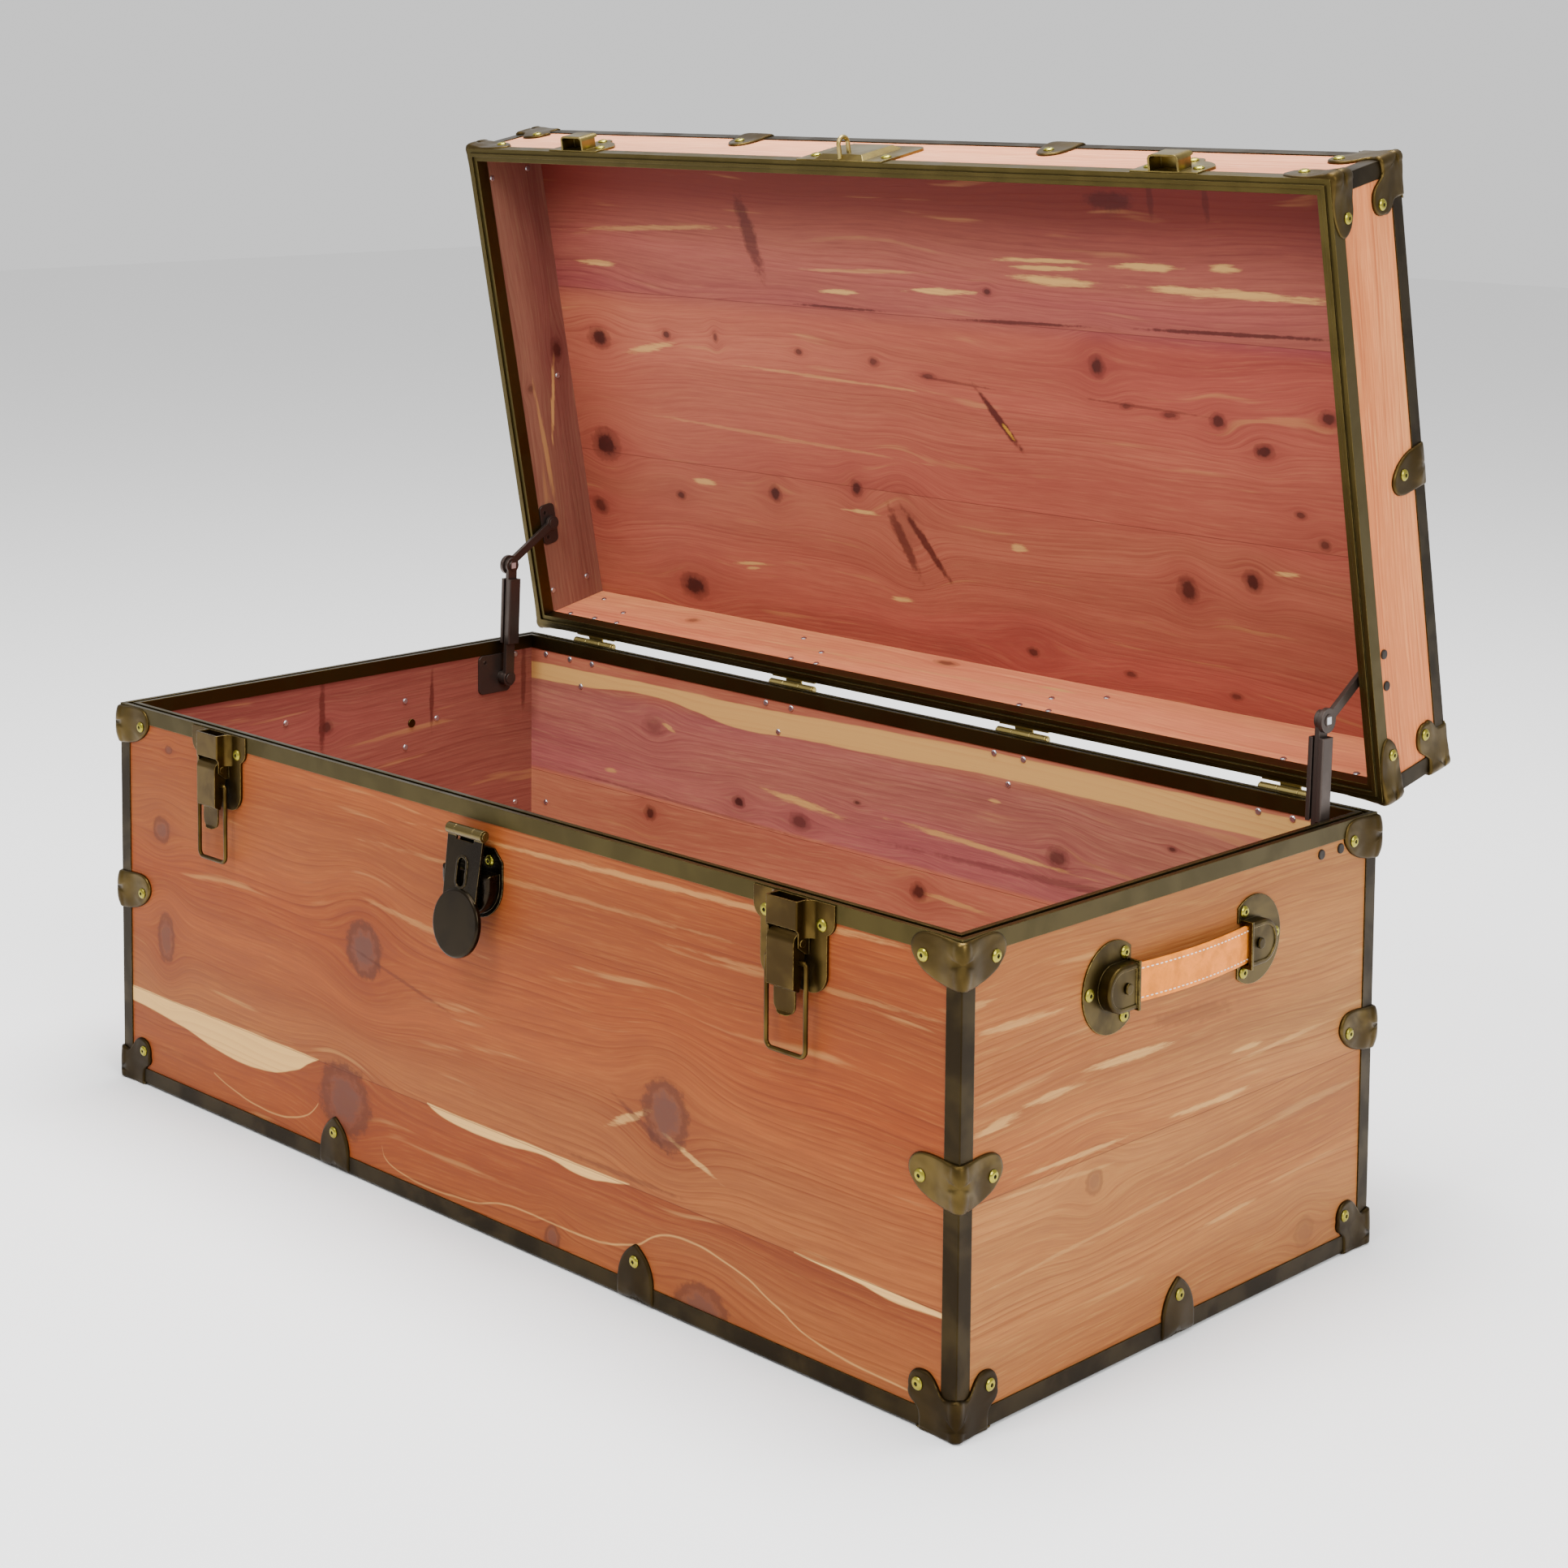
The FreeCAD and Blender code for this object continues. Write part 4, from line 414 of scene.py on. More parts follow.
# How a metal piece is finished: the names of its face's and its worn edges' colours, its share of
# metal, its roughness where rubbed and where dull, how much its edges and its broad patches are rubbed,
# the radius of its softened edges in metres, how dark its hollows are, and how rough its face feels
Finish = namedtuple(
    "Finish", "face worn metallic rough edge blotch radius dirt grit", defaults=(0.9 * MM, 0.8, 0.1))

FINISHES = {
    "antique brass": Finish("brass", "brass_worn", 1.0, (0.30, 0.44), 0.6, 0.16, 1.4 * MM),
    "darkened brass": Finish("foot", "brass_worn", 1.0, (0.34, 0.48), 0.5, 0.05, 1.4 * MM),
    "edge binding": Finish("binding", "brass_worn", 1.0, (0.36, 0.46), 0.25, 0.05, 0.8 * MM),
    "rim channel": Finish("rim", "brass_worn", 1.0, (0.34, 0.42), 0.45, 0.03, 0.6 * MM),
    # The lid's rim channel: the rim's finish with painted light, a lighter colour for the light it catches
    "lid rim channel painted lighter": Finish("lid_rim", "brass_worn", 1.0, (0.36, 0.46), 0.45, 0.03, 0.6 * MM),
    "aged brass": Finish("latch", "latch_worn", 1.0, (0.28, 0.40), 0.85, 0.18, 0.7 * MM),
    "rubbed brass": Finish("catch", "catch_worn", 1.0, (0.26, 0.38), 0.85, 0.4, 0.7 * MM, 0.35),
    "dark bronze": Finish("hasp", "hasp_worn", 0.9, (0.16, 0.24), 0.7, 0.04, 0.7 * MM, 0.8, 0.02),
    "bright brass": Finish("hinge", "hinge_worn", 0.95, (0.24, 0.36), 0.8, 0.3),
    "handle brass": Finish("loop", "loop_worn", 1.0, (0.28, 0.40), 0.9, 0.16, 0.8 * MM),
    "bronze paint": Finish("stay", "stay_worn", 0.7, (0.28, 0.40), 0.5, 0.12, 0.7 * MM),
    "stay screws": Finish("screw", "screw_worn", 0.8, (0.35, 0.5), 0.6, 0.12),
}

# Parts of a piece with a face of their own: its colour, and the low and high corner of its box in metres
OWN_FACES = {
    "dark bronze": ("knuckle", (-0.03, -0.3, 0.2955), (0.03, -0.2, 0.32)),
    "bronze paint": ("elbow", (-0.5, 0.1833, 0.3879), (0.5, 0.1885, 0.3931)),
}

GRIT_DEPTH = 0.2 * MM
GRIT_ROUGH = 0.08


def metal_material(name, colours):
    """Tarnished metal that shines through on its edges and is darker in its hollows."""
    made, board, shader, place = new_material(name)
    finish = FINISHES[name]
    face, worn = getattr(colours, finish.face), getattr(colours, finish.worn)
    if name in OWN_FACES:
        own, low, high = OWN_FACES[name]
        inside = 1.0
        for axis, start, end in zip(board.split(place), low, high):
            above = board.math("GREATER_THAN", axis, start)
            fits = board.times(above, board.math("LESS_THAN", axis, end))
            inside = board.times(fits, inside)
        face = board.blend(inside, face, getattr(colours, own))
    wear = board.group(once("Rubbed metal", make_wear), {"Place": place, "Radius": finish.radius})
    patch = board.times(wear["Blotch"], finish.blotch)
    share = board.larger(board.times(wear["Edge"], finish.edge), patch)
    rubbed = board.blend(share, face, worn)
    # The hollows, found by ambient occlusion, are blended towards the dark hollow colour
    darkened_hollows = board.times(wear["Crevice"], finish.dirt)
    board.feed(shader["Base Color"], board.blend(darkened_hollows, rubbed, colours.hollow_dark))
    bright, dull = finish.rough
    spread = board.span(wear["Blotch"], 0, 1, dull, bright)
    board.feed(shader["Roughness"], board.scaled(wear["Grit"], GRIT_ROUGH, spread))
    shader["Metallic"].default_value = finish.metallic
    bump = board.put("ShaderNodeBump", {
        "Strength": finish.grit, "Distance": GRIT_DEPTH, "Height": wear["Grit"], "Normal": wear["Normal"]})
    board.feed(shader["Normal"], bump.outputs[0])
    return made


def dress(names, material):
    """Gives every slot of the named nodes that material."""
    for name in names:
        slots = NODES[name].data.materials
        for index in range(len(slots)):
            slots[index] = material
        if not len(slots):
            slots.append(material)


# Meshes


def mesh_object(name, points, faces, material, body, smooth=True):
    """A piece from an array of points and lists of faces, with its place in its mesh."""
    mesh = bpy.data.meshes.new(name)
    mesh.from_pydata(points.tolist(), [], faces)
    mesh.validate()
    mesh.polygons.foreach_set("use_smooth", np.full(len(mesh.polygons), smooth))
    mesh.materials.append(material)
    mesh.update()
    piece = bpy.data.objects.new(name, mesh)
    bpy.context.scene.collection.objects.link(piece)
    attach(piece, body)
    return piece


def joined(parts):
    """One array of points and one list of faces from several."""
    points, faces, start = [], [], 0
    for part_points, part_faces in parts:
        points.append(part_points)
        faces += [tuple(int(i) + start for i in face) for face in part_faces]
        start += len(part_points)
    return np.vstack(points), faces


def closed_curve(keys, count):
    """Points spread evenly along a smooth closed curve through the keys: each span is a cubic that leaves
    and enters its ends along the line between the neighbours, and the result is resampled by length."""
    keys = np.asarray(keys, float)
    t = np.linspace(0, 1, 24, endpoint=False)[:, None]
    before, after, last = np.roll(keys, 1, 0), np.roll(keys, -1, 0), np.roll(keys, -2, 0)
    p0, p1, p2, p3 = (k[:, None, :] for k in (before, keys, after, last))
    curve = 0.5 * (2 * p1 + (p2 - p0) * t + (2 * p0 - 5 * p1 + 4 * p2 - p3) * t ** 2
                   + (3 * p1 - p0 - 3 * p2 + p3) * t ** 3)
    curve = curve.reshape(-1, 2)
    loop = np.vstack([curve, curve[:1]])
    far = np.concatenate([[0], np.cumsum(np.linalg.norm(np.diff(loop, axis=0), axis=1))])
    even = np.linspace(0, far[-1], count, endpoint=False)
    return np.stack([np.interp(even, far, loop[:, 0]), np.interp(even, far, loop[:, 1])], 1)


def mirrored_outline(half):
    """A closed run of key points from one half of it, mirrored in the first coordinate."""
    half = np.asarray(half, float)
    other = half[::-1] * (-1, 1)
    keep = np.abs(other[:, 0]) > 1e-9
    return np.vstack([half, other[keep]])


def step_up(value, low, high):
    """0 below low, 1 above high, and a smooth 3t^2 - 2t^3 between."""
    t = np.clip((value - low) / (high - low), 0, 1)
    return t * t * (3 - 2 * t)


def sheet_faces(count, rings):
    """Faces of a pressed sheet: a fan to the middle, rings of quads to the outline, and the same behind."""
    i = np.arange(count)
    j = (i + 1) % count
    first = 1 + (np.arange(rings) * count)[:, None]
    fan = [(0, 1 + b, 1 + a) for a, b in zip(j, i)]
    quads = []
    for ring in range(rings - 1):
        a, b = first[ring, 0], first[ring + 1, 0]
        quads += list(zip(a + i, b + i, b + j, a + j))
    front = fan + quads
    start = 1 + rings * count
    back = [(start, start + 1 + a, start + 1 + b) for a, b in zip(j, i)]
    for ring in range(rings - 2):
        a, b = start + 1 + ring * count, start + 1 + (ring + 1) * count
        back += list(zip(a + j, b + j, b + i, a + i))
    a, b = start + 1 + (rings - 2) * count, 1 + (rings - 1) * count
    back += list(zip(a + j, b + j, b + i, a + i))
    return front + back


RING_SHARES = np.array([0.16, 0.32, 0.48, 0.62, 0.74, 0.83, 0.89, 0.93, 0.96, 0.98, 0.992, 1.0])


def pressed_sheet(outline, centre, under, over, place, edge, count=144):
    """A closed thin sheet drawn in a flat outline and pressed over what it covers.
    A point at share t from the centre to the outline gets the height
    under + (over - under) * sqrt(1 - (1 - min(d / edge, 1))^2), d being its distance to the outline, so the
    sheet rolls down to its bed at the edge; place turns (across, along, height) into space."""
    rim = closed_curve(outline, count)
    centre = np.asarray(centre, float)
    flat = centre + RING_SHARES[:, None, None] * (rim - centre)
    spread = np.linalg.norm(rim - centre, axis=1)
    d = (1 - RING_SHARES)[:, None] * spread
    roll = np.sqrt(1 - (1 - np.clip(d / edge, 0, 1)) ** 2)
    a = np.concatenate([centre[None, :], flat.reshape(-1, 2)])
    roll = np.concatenate([[1.0], roll.reshape(-1)])
    bed = under(a[:, 0], a[:, 1])
    height = bed + (over(a[:, 0], a[:, 1]) - bed) * roll
    front = place(a[:, 0], a[:, 1], height)
    inner = a[:1 + (len(RING_SHARES) - 1) * count]
    back = place(inner[:, 0], inner[:, 1], bed[:len(inner)] * 0.5)
    return np.vstack([front, back]), sheet_faces(count, len(RING_SHARES))


def quarter_turn(index):
    """Turns plan coordinates from the front to the side of that number, a quarter turn for each."""
    turn = math.radians(90 * index)
    return np.array([[math.cos(turn), -math.sin(turn)], [math.sin(turn), math.cos(turn)]])


def corner_edge(index):
    """Plan coordinates of the vertical edge after a side, before the quarter turns."""
    spans = (HALF_LENGTH, HALF_DEPTH) if index % 2 == 0 else (HALF_DEPTH, HALF_LENGTH)
    return np.array([spans[0], -spans[1]])


def bent(across, fold):
    """The angle round a fold at those places across it, and how far they lie beyond it on either side."""
    angle = np.radians(90) * np.clip((across / fold + 1) / 2, 0, 1)
    return angle, np.clip(np.abs(across) - fold, 0, None)


def corner_fold(index, fold):
    """Wraps (across, up, height) round the vertical edge between a wall and the next one.
    Beyond the fold the point lies at |across| from the edge along its wall and height out from it. Within
    the fold it lies on a circle round the point that is fold inside both faces, at the angle
    90 degrees * (across / fold + 1) / 2."""
    spin, edge = quarter_turn(index), corner_edge(index)

    def place(across, up, height):
        angle, slide = bent(across, fold)
        out = np.stack([np.sin(angle), -np.cos(angle)], 1)
        run = np.where(across[:, None] > 0, [[0.0, 1.0]], [[-1.0, 0.0]])
        flat = edge + fold * np.array([-1.0, 1.0]) + out * (fold + height)[:, None] + run * slide[:, None]
        return np.column_stack([flat @ spin.T, up])

    return place


def edge_fold(side, x_at, level, turn_up, fold):
    """Wraps (across, along, height) round a level edge of a wall: across > 0 lies on the wall, across < 0
    on the floor or the top, and along runs along the wall from x_at."""
    spin = quarter_turn(SIDES.index(side))
    half = HALF_DEPTH if side in ("front", "back") else HALF_LENGTH

    def place(across, along, height):
        angle, slide = bent(across, fold)
        y = -half + fold - np.sin(angle) * (fold + height)
        z = -fold + np.cos(angle) * (fold + height)
        y = y + np.where(across < 0, slide, 0)
        z = z - np.where(across > 0, slide, 0)
        flat = np.stack([x_at + along, y], 1) @ spin.T
        return np.column_stack([flat, level + turn_up * z])

    return place


def opened(points):
    """Turns points of the shut lid back about the hinge line to where the lid rests."""
    y, z = points[:, 1] - HINGE_LINE[0], points[:, 2] - HINGE_LINE[1]
    c, s = math.cos(-LID_ANGLE), math.sin(-LID_ANGLE)
    return np.column_stack([points[:, 0], HINGE_LINE[0] + c * y - s * z, HINGE_LINE[1] + s * y + c * z])


def flipped(parts):
    """The same sheets with their faces turned round, for those wrapped in a mirrored place."""
    return [(points, [tuple(reversed(face)) for face in faces]) for points, faces in parts]


# How far the rivets of a cap stand from its fold, in metres, and how far under its straight edge those of
# a heart do, in millimetres
RIVET_REACH = 30 * MM
HEART_ROW = 14.5

# How far the clamps of the long sides stand from their middles, at the bottom and at the top
BOTTOM_CLAMPS = 169 * MM
TOP_CLAMPS = 167 * MM

# Points round a foot cap's outline, which has more turns than the others
FOOT_POINTS = 176

# Outlines of the caps and clamps in millimetres: (across from the fold, up or along)
HEART = mirrored_outline([
    (0, -0.2), (6, 0), (13, 0.4), (20, 0.8), (27, 0.8), (33, -0.4), (37.6, -3.4), (40.2, -8),
    (40.4, -12.5), (38.6, -16.4), (35.4, -20.2), (31.6, -23.4), (27, -26), (21.8, -28.2), (16, -29.8),
    (8, -31.2), (0, -31.8)])
FOOT = mirrored_outline([
    (0, 27.3), (4, 26.2), (8, 25.6), (11, 27.2), (14.3, 31.2), (17.6, 35.4), (22, 38.4), (28, 38.9),
    (33.6, 37.2), (37.0, 33.4), (38.4, 29.0), (38.2, 25.4), (38.9, 22.4), (37.2, 18.6), (33, 15.6),
    (30.4, 12.4), (29.6, 8), (29.6, 4), (29.6, 0.4), (29, 0), (20, 0), (10, 0), (0, 0)])
TONGUE = np.array([
    (-21, 0), (-21, -9), (-21, -17), (-20, -18), (-10, -18), (0, -18), (12, -17.8),
    (20, -16.4), (27, -13.4), (32, -9.6), (36, -5), (38.8, 0), (36, 5), (32, 9.6), (27, 13.4),
    (20, 16.4), (12, 17.8), (0, 18), (-10, 18), (-20, 18), (-21, 17), (-21, 9)], float)
LID_TONGUE = mirrored_outline([
    (0, 24), (8, 24.1), (16, 24.2), (26, 23.4), (35, 21), (41.4, 16.6), (43.9, 11.6), (41.8, 6.6),
    (36.6, 3.2), (30, 1.0), (22, 0), (14, 0), (7, 0), (0, 0)])


def binding_bed(across, top_from=None, up=None, channel=0):
    """Height of what lies under a cap: the binding's leg near the fold, its corner, and the rim's leg."""
    a = np.abs(across)
    bed = BINDING_SHEET * step_up(a, BINDING_LEG + 2.0 * MM, BINDING_LEG)
    bed = bed + FOLD_RISE * np.exp(-(a / FOLD_SPREAD) ** 2)
    if top_from is not None:
        rim_bed = BINDING_SHEET * step_up(channel * (up - top_from), -1.5 * MM, 0.2 * MM)
        bed = np.maximum(bed, rim_bed)
    return bed


def pressed_top(across, up, middle, tall, bulge, lobe_at=None):
    """Height of a pressed cap's face: its plain height, plus a bulge along the fold that fades over the
    binding's width and to the ends of the fold, plus a low dish ring round each rivet."""
    a = np.abs(across)
    swell = step_up(a, 19 * MM, 5 * MM) * np.exp(-((up - middle) / tall) ** 4)
    ridge = 0.5 * np.exp(-(a / (2.4 * MM)) ** 2)
    high = CAP_PROUD + bulge * swell * (1 + ridge)
    if lobe_at is not None:
        r = np.hypot(a - lobe_at[0], up - lobe_at[1])
        high = high + 0.35 * MM * np.exp(-((r - 8 * MM) / (3 * MM)) ** 2)
    return high + FOLD_RISE * np.exp(-(a / FOLD_SPREAD) ** 2)


def plain_bed(across, up):
    """Height of what lies under a cap away from the rims."""
    return binding_bed(across)


def level_face(height):
    """A sheet's face that stands at one height all over."""
    return lambda across, up: np.full_like(across, height)


def clamp_places(reach):
    """The sides with clamps on their level edges, and the clamps' places along them."""
    long_sides = [(side, place) for side in ("front", "back") for place in (-reach, reach)]
    return long_sides + [("right", 0.0), ("left", 0.0)]


def heart_caps(level, sizes, channel):
    """Heart caps round the four vertical edges, their top edge at that level."""
    outline, middle = HEART * MM + (0, level), (0, level - 14 * MM)
    rivet = (RIVET_REACH, level - HEART_ROW * MM)
    channel_from = RIM - RIM_LEG if channel else None

    def bed(across, up):
        return binding_bed(across, channel_from, up, 1)

    def face(across, up):
        return pressed_top(across, up, level - 15 * MM, 15 * MM, sizes.cap_bulge, rivet)

    return [pressed_sheet(outline, middle, bed, face, corner_fold(index, sizes.cap_fold), sizes.cap_edge)
            for index in range(4)]


def foot_sheets(sizes):
    """Eared bottom corner caps, each with its sole under the floor."""
    rivet = (RIVET_REACH, 29 * MM)

    def face(across, up):
        return pressed_top(across, up, 6 * MM, 26 * MM, 0.5 * sizes.cap_bulge, rivet)

    parts = []
    for index in range(4):
        points, faces = pressed_sheet(
            FOOT * MM, (0, 8 * MM), plain_bed, face, corner_fold(index, sizes.cap_fold), sizes.cap_edge,
            FOOT_POINTS)
        parts.append((np.maximum(points, (-np.inf, -np.inf, 0)), faces))
        parts.append(sole_sheet(index, sizes))
    return parts


def sole_sheet(index, sizes):
    """The square sole of a corner cap, with its inner corner rounded, lying under the floor."""
    spin, edge = quarter_turn(index), corner_edge(index)
    keys = [(1.6, -1.6), (1.7, 0), (1.7, 15), (1.7, 30), (1, 31), (-12, 31), (-22, 30.6), (-28.4, 28.4),
            (-30.6, 22), (-31, 12), (-31, -1), (-30, -1.7), (-15, -1.7), (0, -1.7)]

    def place(x, y, height):
        flat = (edge + np.stack([x, y], 1)) @ spin.T
        return np.column_stack([flat, CAP_PROUD - height])

    sheet = pressed_sheet(
        np.array(keys) * MM, (-14 * MM, 14 * MM), level_face(0.1 * MM), level_face(CAP_PROUD), place,
        sizes.cap_edge)
    return flipped([sheet])[0]


def tongue_clamps(sizes):
    """Clamps with a pointed round top over the base's bottom edges, with a low ridge down the middle."""

    def bed(across, along):
        return BINDING_SHEET * step_up(np.abs(across), BINDING_LEG + 2 * MM, BINDING_LEG)

    def face(across, along):
        ridge = 0.9 * MM * np.exp(-(along / (10 * MM)) ** 2) * step_up(across, 30 * MM, 14 * MM)
        return CAP_PROUD + ridge * step_up(across, 0, 6 * MM)

    parts = []
    for side, x in clamp_places(BOTTOM_CLAMPS):
        wrap = edge_fold(side, x, CAP_PROUD, -1, 2.0 * MM)
        parts.append(pressed_sheet(TONGUE * MM, (6 * MM, 0), bed, face, wrap, sizes.cap_edge))
    return parts


def lid_edge_sheets(sizes):
    """Heart clamps folded over the lid's top edges, for the shut lid; they bulge on its walls only."""
    outline = np.stack([-HEART[:, 0], HEART[:, 1] + HEART_ROW], 1) * MM

    def face(across, along):
        full = pressed_top(across, along, -2 * MM, 15 * MM, sizes.cap_bulge)
        flat = CAP_PROUD + FOLD_RISE * np.exp(-(across / FOLD_SPREAD) ** 2)
        return flat + (full - flat) * step_up(across, 0, 6 * MM)

    parts = []
    for side, x in clamp_places(TOP_CLAMPS):
        wrap = edge_fold(side, x, HEIGHT, 1, sizes.cap_fold)
        parts.append(pressed_sheet(outline, (0, -1.5 * MM), plain_bed, face, wrap, sizes.cap_edge))
    return parts


def lid_rim_sheets(sizes):
    """Tongue caps round the lid's vertical edges at its rim, for the shut lid."""
    level = RIM + 0.45 * MM
    outline, middle = LID_TONGUE * MM + (0, level), (0, level + 12 * MM)
    rivet = (RIVET_REACH, RIM + 16 * MM)

    def bed(across, up):
        return binding_bed(across, RIM + RIM_LEG, up, -1)

    def face(across, up):
        return pressed_top(across, up, level + 12 * MM, 14 * MM, sizes.cap_bulge, rivet)

    return [pressed_sheet(outline, middle, bed, face, corner_fold(index, sizes.cap_fold), sizes.cap_edge)
            for index in range(4)]


def upside_down(parts):
    """Sheets of the base's bottom corners turned over to the lid's top corners."""
    risen = (0, 0, HEIGHT + CAP_PROUD)
    return flipped([(points * (1, 1, -1) + risen, faces) for points, faces in parts])


def put_caps(name, parts, nodes, body, material):
    """One piece of all the sheets, in the place of the nodes; the lid's are opened with the lid."""
    points, faces = joined(parts)
    if body == "lid":
        points = opened(points)
    piece = mesh_object(name, points, faces, material, body)
    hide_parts(*nodes)
    return piece


# The photograph's camera, fitted to the trunk's corners: the picture's width, the focal length and the
# middle of the view in pixels; the camera's place in metres, its direction and its roll in radians; and
# the width of its sensor in millimetres
PICTURE_WIDTH = 1932.0
FOCAL_LENGTH = 3621.9
VIEW_MIDDLE = (800.0, 400.0)
CAMERA_PLACE = (1.5934, -1.5846, 0.8510)
CAMERA_LOOK = (-0.71945, 0.68902, -0.08747)
CAMERA_ROLL = 0.0046
SENSOR_WIDTH = 36.0

# The soft lights: name, place, what it shines at and width in metres, and power in watts
LIGHTS = (
    ("top", (0.1, 0.3, 3.0), (0.0, 0.0, 0.2), 1.6, 175),
    ("right", (3.0, -0.7, 1.9), (0.3, 0.0, 0.2), 1.7, 76),
    ("front", (0.1, -2.2, 3.0), (0.0, 0.1, 0.4), 1.1, 85),
)

# Half the floor's width, how far it lies under the feet, its grey, and the brightness all round
FLOOR_HALF = 9.0
FLOOR_DROP = 0.4 * MM
FLOOR_GREY = (0.90, 0.90, 0.90, 1)
STUDIO_LIGHT = 0.95


class TRUNK_OT_stage(bpy.types.Operator):
    """Lays a pale floor and sets the soft lights and the camera"""
    bl_idname = "trunk.stage"
    bl_label = "Stage"

    def execute(self, context):
        scene = context.scene
        self.floor(scene)
        world = bpy.data.worlds.new("studio")
        world.use_nodes = True
        glow = world.node_tree.nodes["Background"].inputs
        glow["Color"].default_value = (1.0, 1.0, 1.0, 1)
        glow["Strength"].default_value = STUDIO_LIGHT
        scene.world = world
        for lamp in LIGHTS:
            self.light(scene, *lamp)
        self.camera(scene)
        return {"FINISHED"}

    @staticmethod
    def floor(scene):
        """A wide square just under the feet."""
        mesh = bpy.data.meshes.new("floor")
        corners = ((-1, -1), (1, -1), (1, 1), (-1, 1))
        points = [(x * FLOOR_HALF, y * FLOOR_HALF, -FLOOR_DROP) for x, y in corners]
        mesh.from_pydata(points, [], [(0, 1, 2, 3)])
        floor = bpy.data.objects.new("floor", mesh)
        scene.collection.objects.link(floor)
        pale = bpy.data.materials.new("pale floor")
        pale.use_nodes = True
        shader = pale.node_tree.nodes["Principled BSDF"].inputs
        shader["Base Color"].default_value = FLOOR_GREY
        shader["Roughness"].default_value = 0.9
        shader["Specular IOR Level"].default_value = 0.1
        mesh.materials.append(pale)

    @staticmethod
    def light(scene, name, place, aim, width, power):
        """A square light that shines from its place to its aim."""
        data = bpy.data.lights.new(name, "AREA")
        data.shape = "SQUARE"
        data.size = width
        data.energy = power
        lamp = bpy.data.objects.new(name, data)
        lamp.location = place
        lamp.rotation_euler = (Vector(aim) - Vector(place)).to_track_quat("-Z", "Y").to_euler()
        scene.collection.objects.link(lamp)

    @staticmethod
    def camera(scene):
        """The photograph's camera. Its axes are side, rise and minus forward, turned by the roll."""
        data = bpy.data.cameras.new("camera")
        camera = bpy.data.objects.new("camera", data)
        scene.collection.objects.link(camera)
        data.sensor_width = SENSOR_WIDTH
        data.lens = FOCAL_LENGTH / PICTURE_WIDTH * data.sensor_width
        data.shift_x = (PICTURE_WIDTH / 2 - VIEW_MIDDLE[0]) / PICTURE_WIDTH
        data.shift_y = (VIEW_MIDDLE[1] - PICTURE_WIDTH / 2) / PICTURE_WIDTH
        forward = Vector(CAMERA_LOOK).normalized()
        right = forward.cross(Vector((0, 0, 1))).normalized()
        up = right.cross(forward)
        side = right * math.cos(CAMERA_ROLL) + up * math.sin(CAMERA_ROLL)
        rise = up * math.cos(CAMERA_ROLL) - right * math.sin(CAMERA_ROLL)
        turn = Matrix((side, rise, -forward)).transposed().to_4x4()
        camera.matrix_world = Matrix.Translation(CAMERA_PLACE) @ turn
        data.clip_start, data.clip_end = 0.05, 60
        scene.camera = camera


# A scale so large that the coordinate divided by it counts for nothing, in metres
FAR = 1.0e4

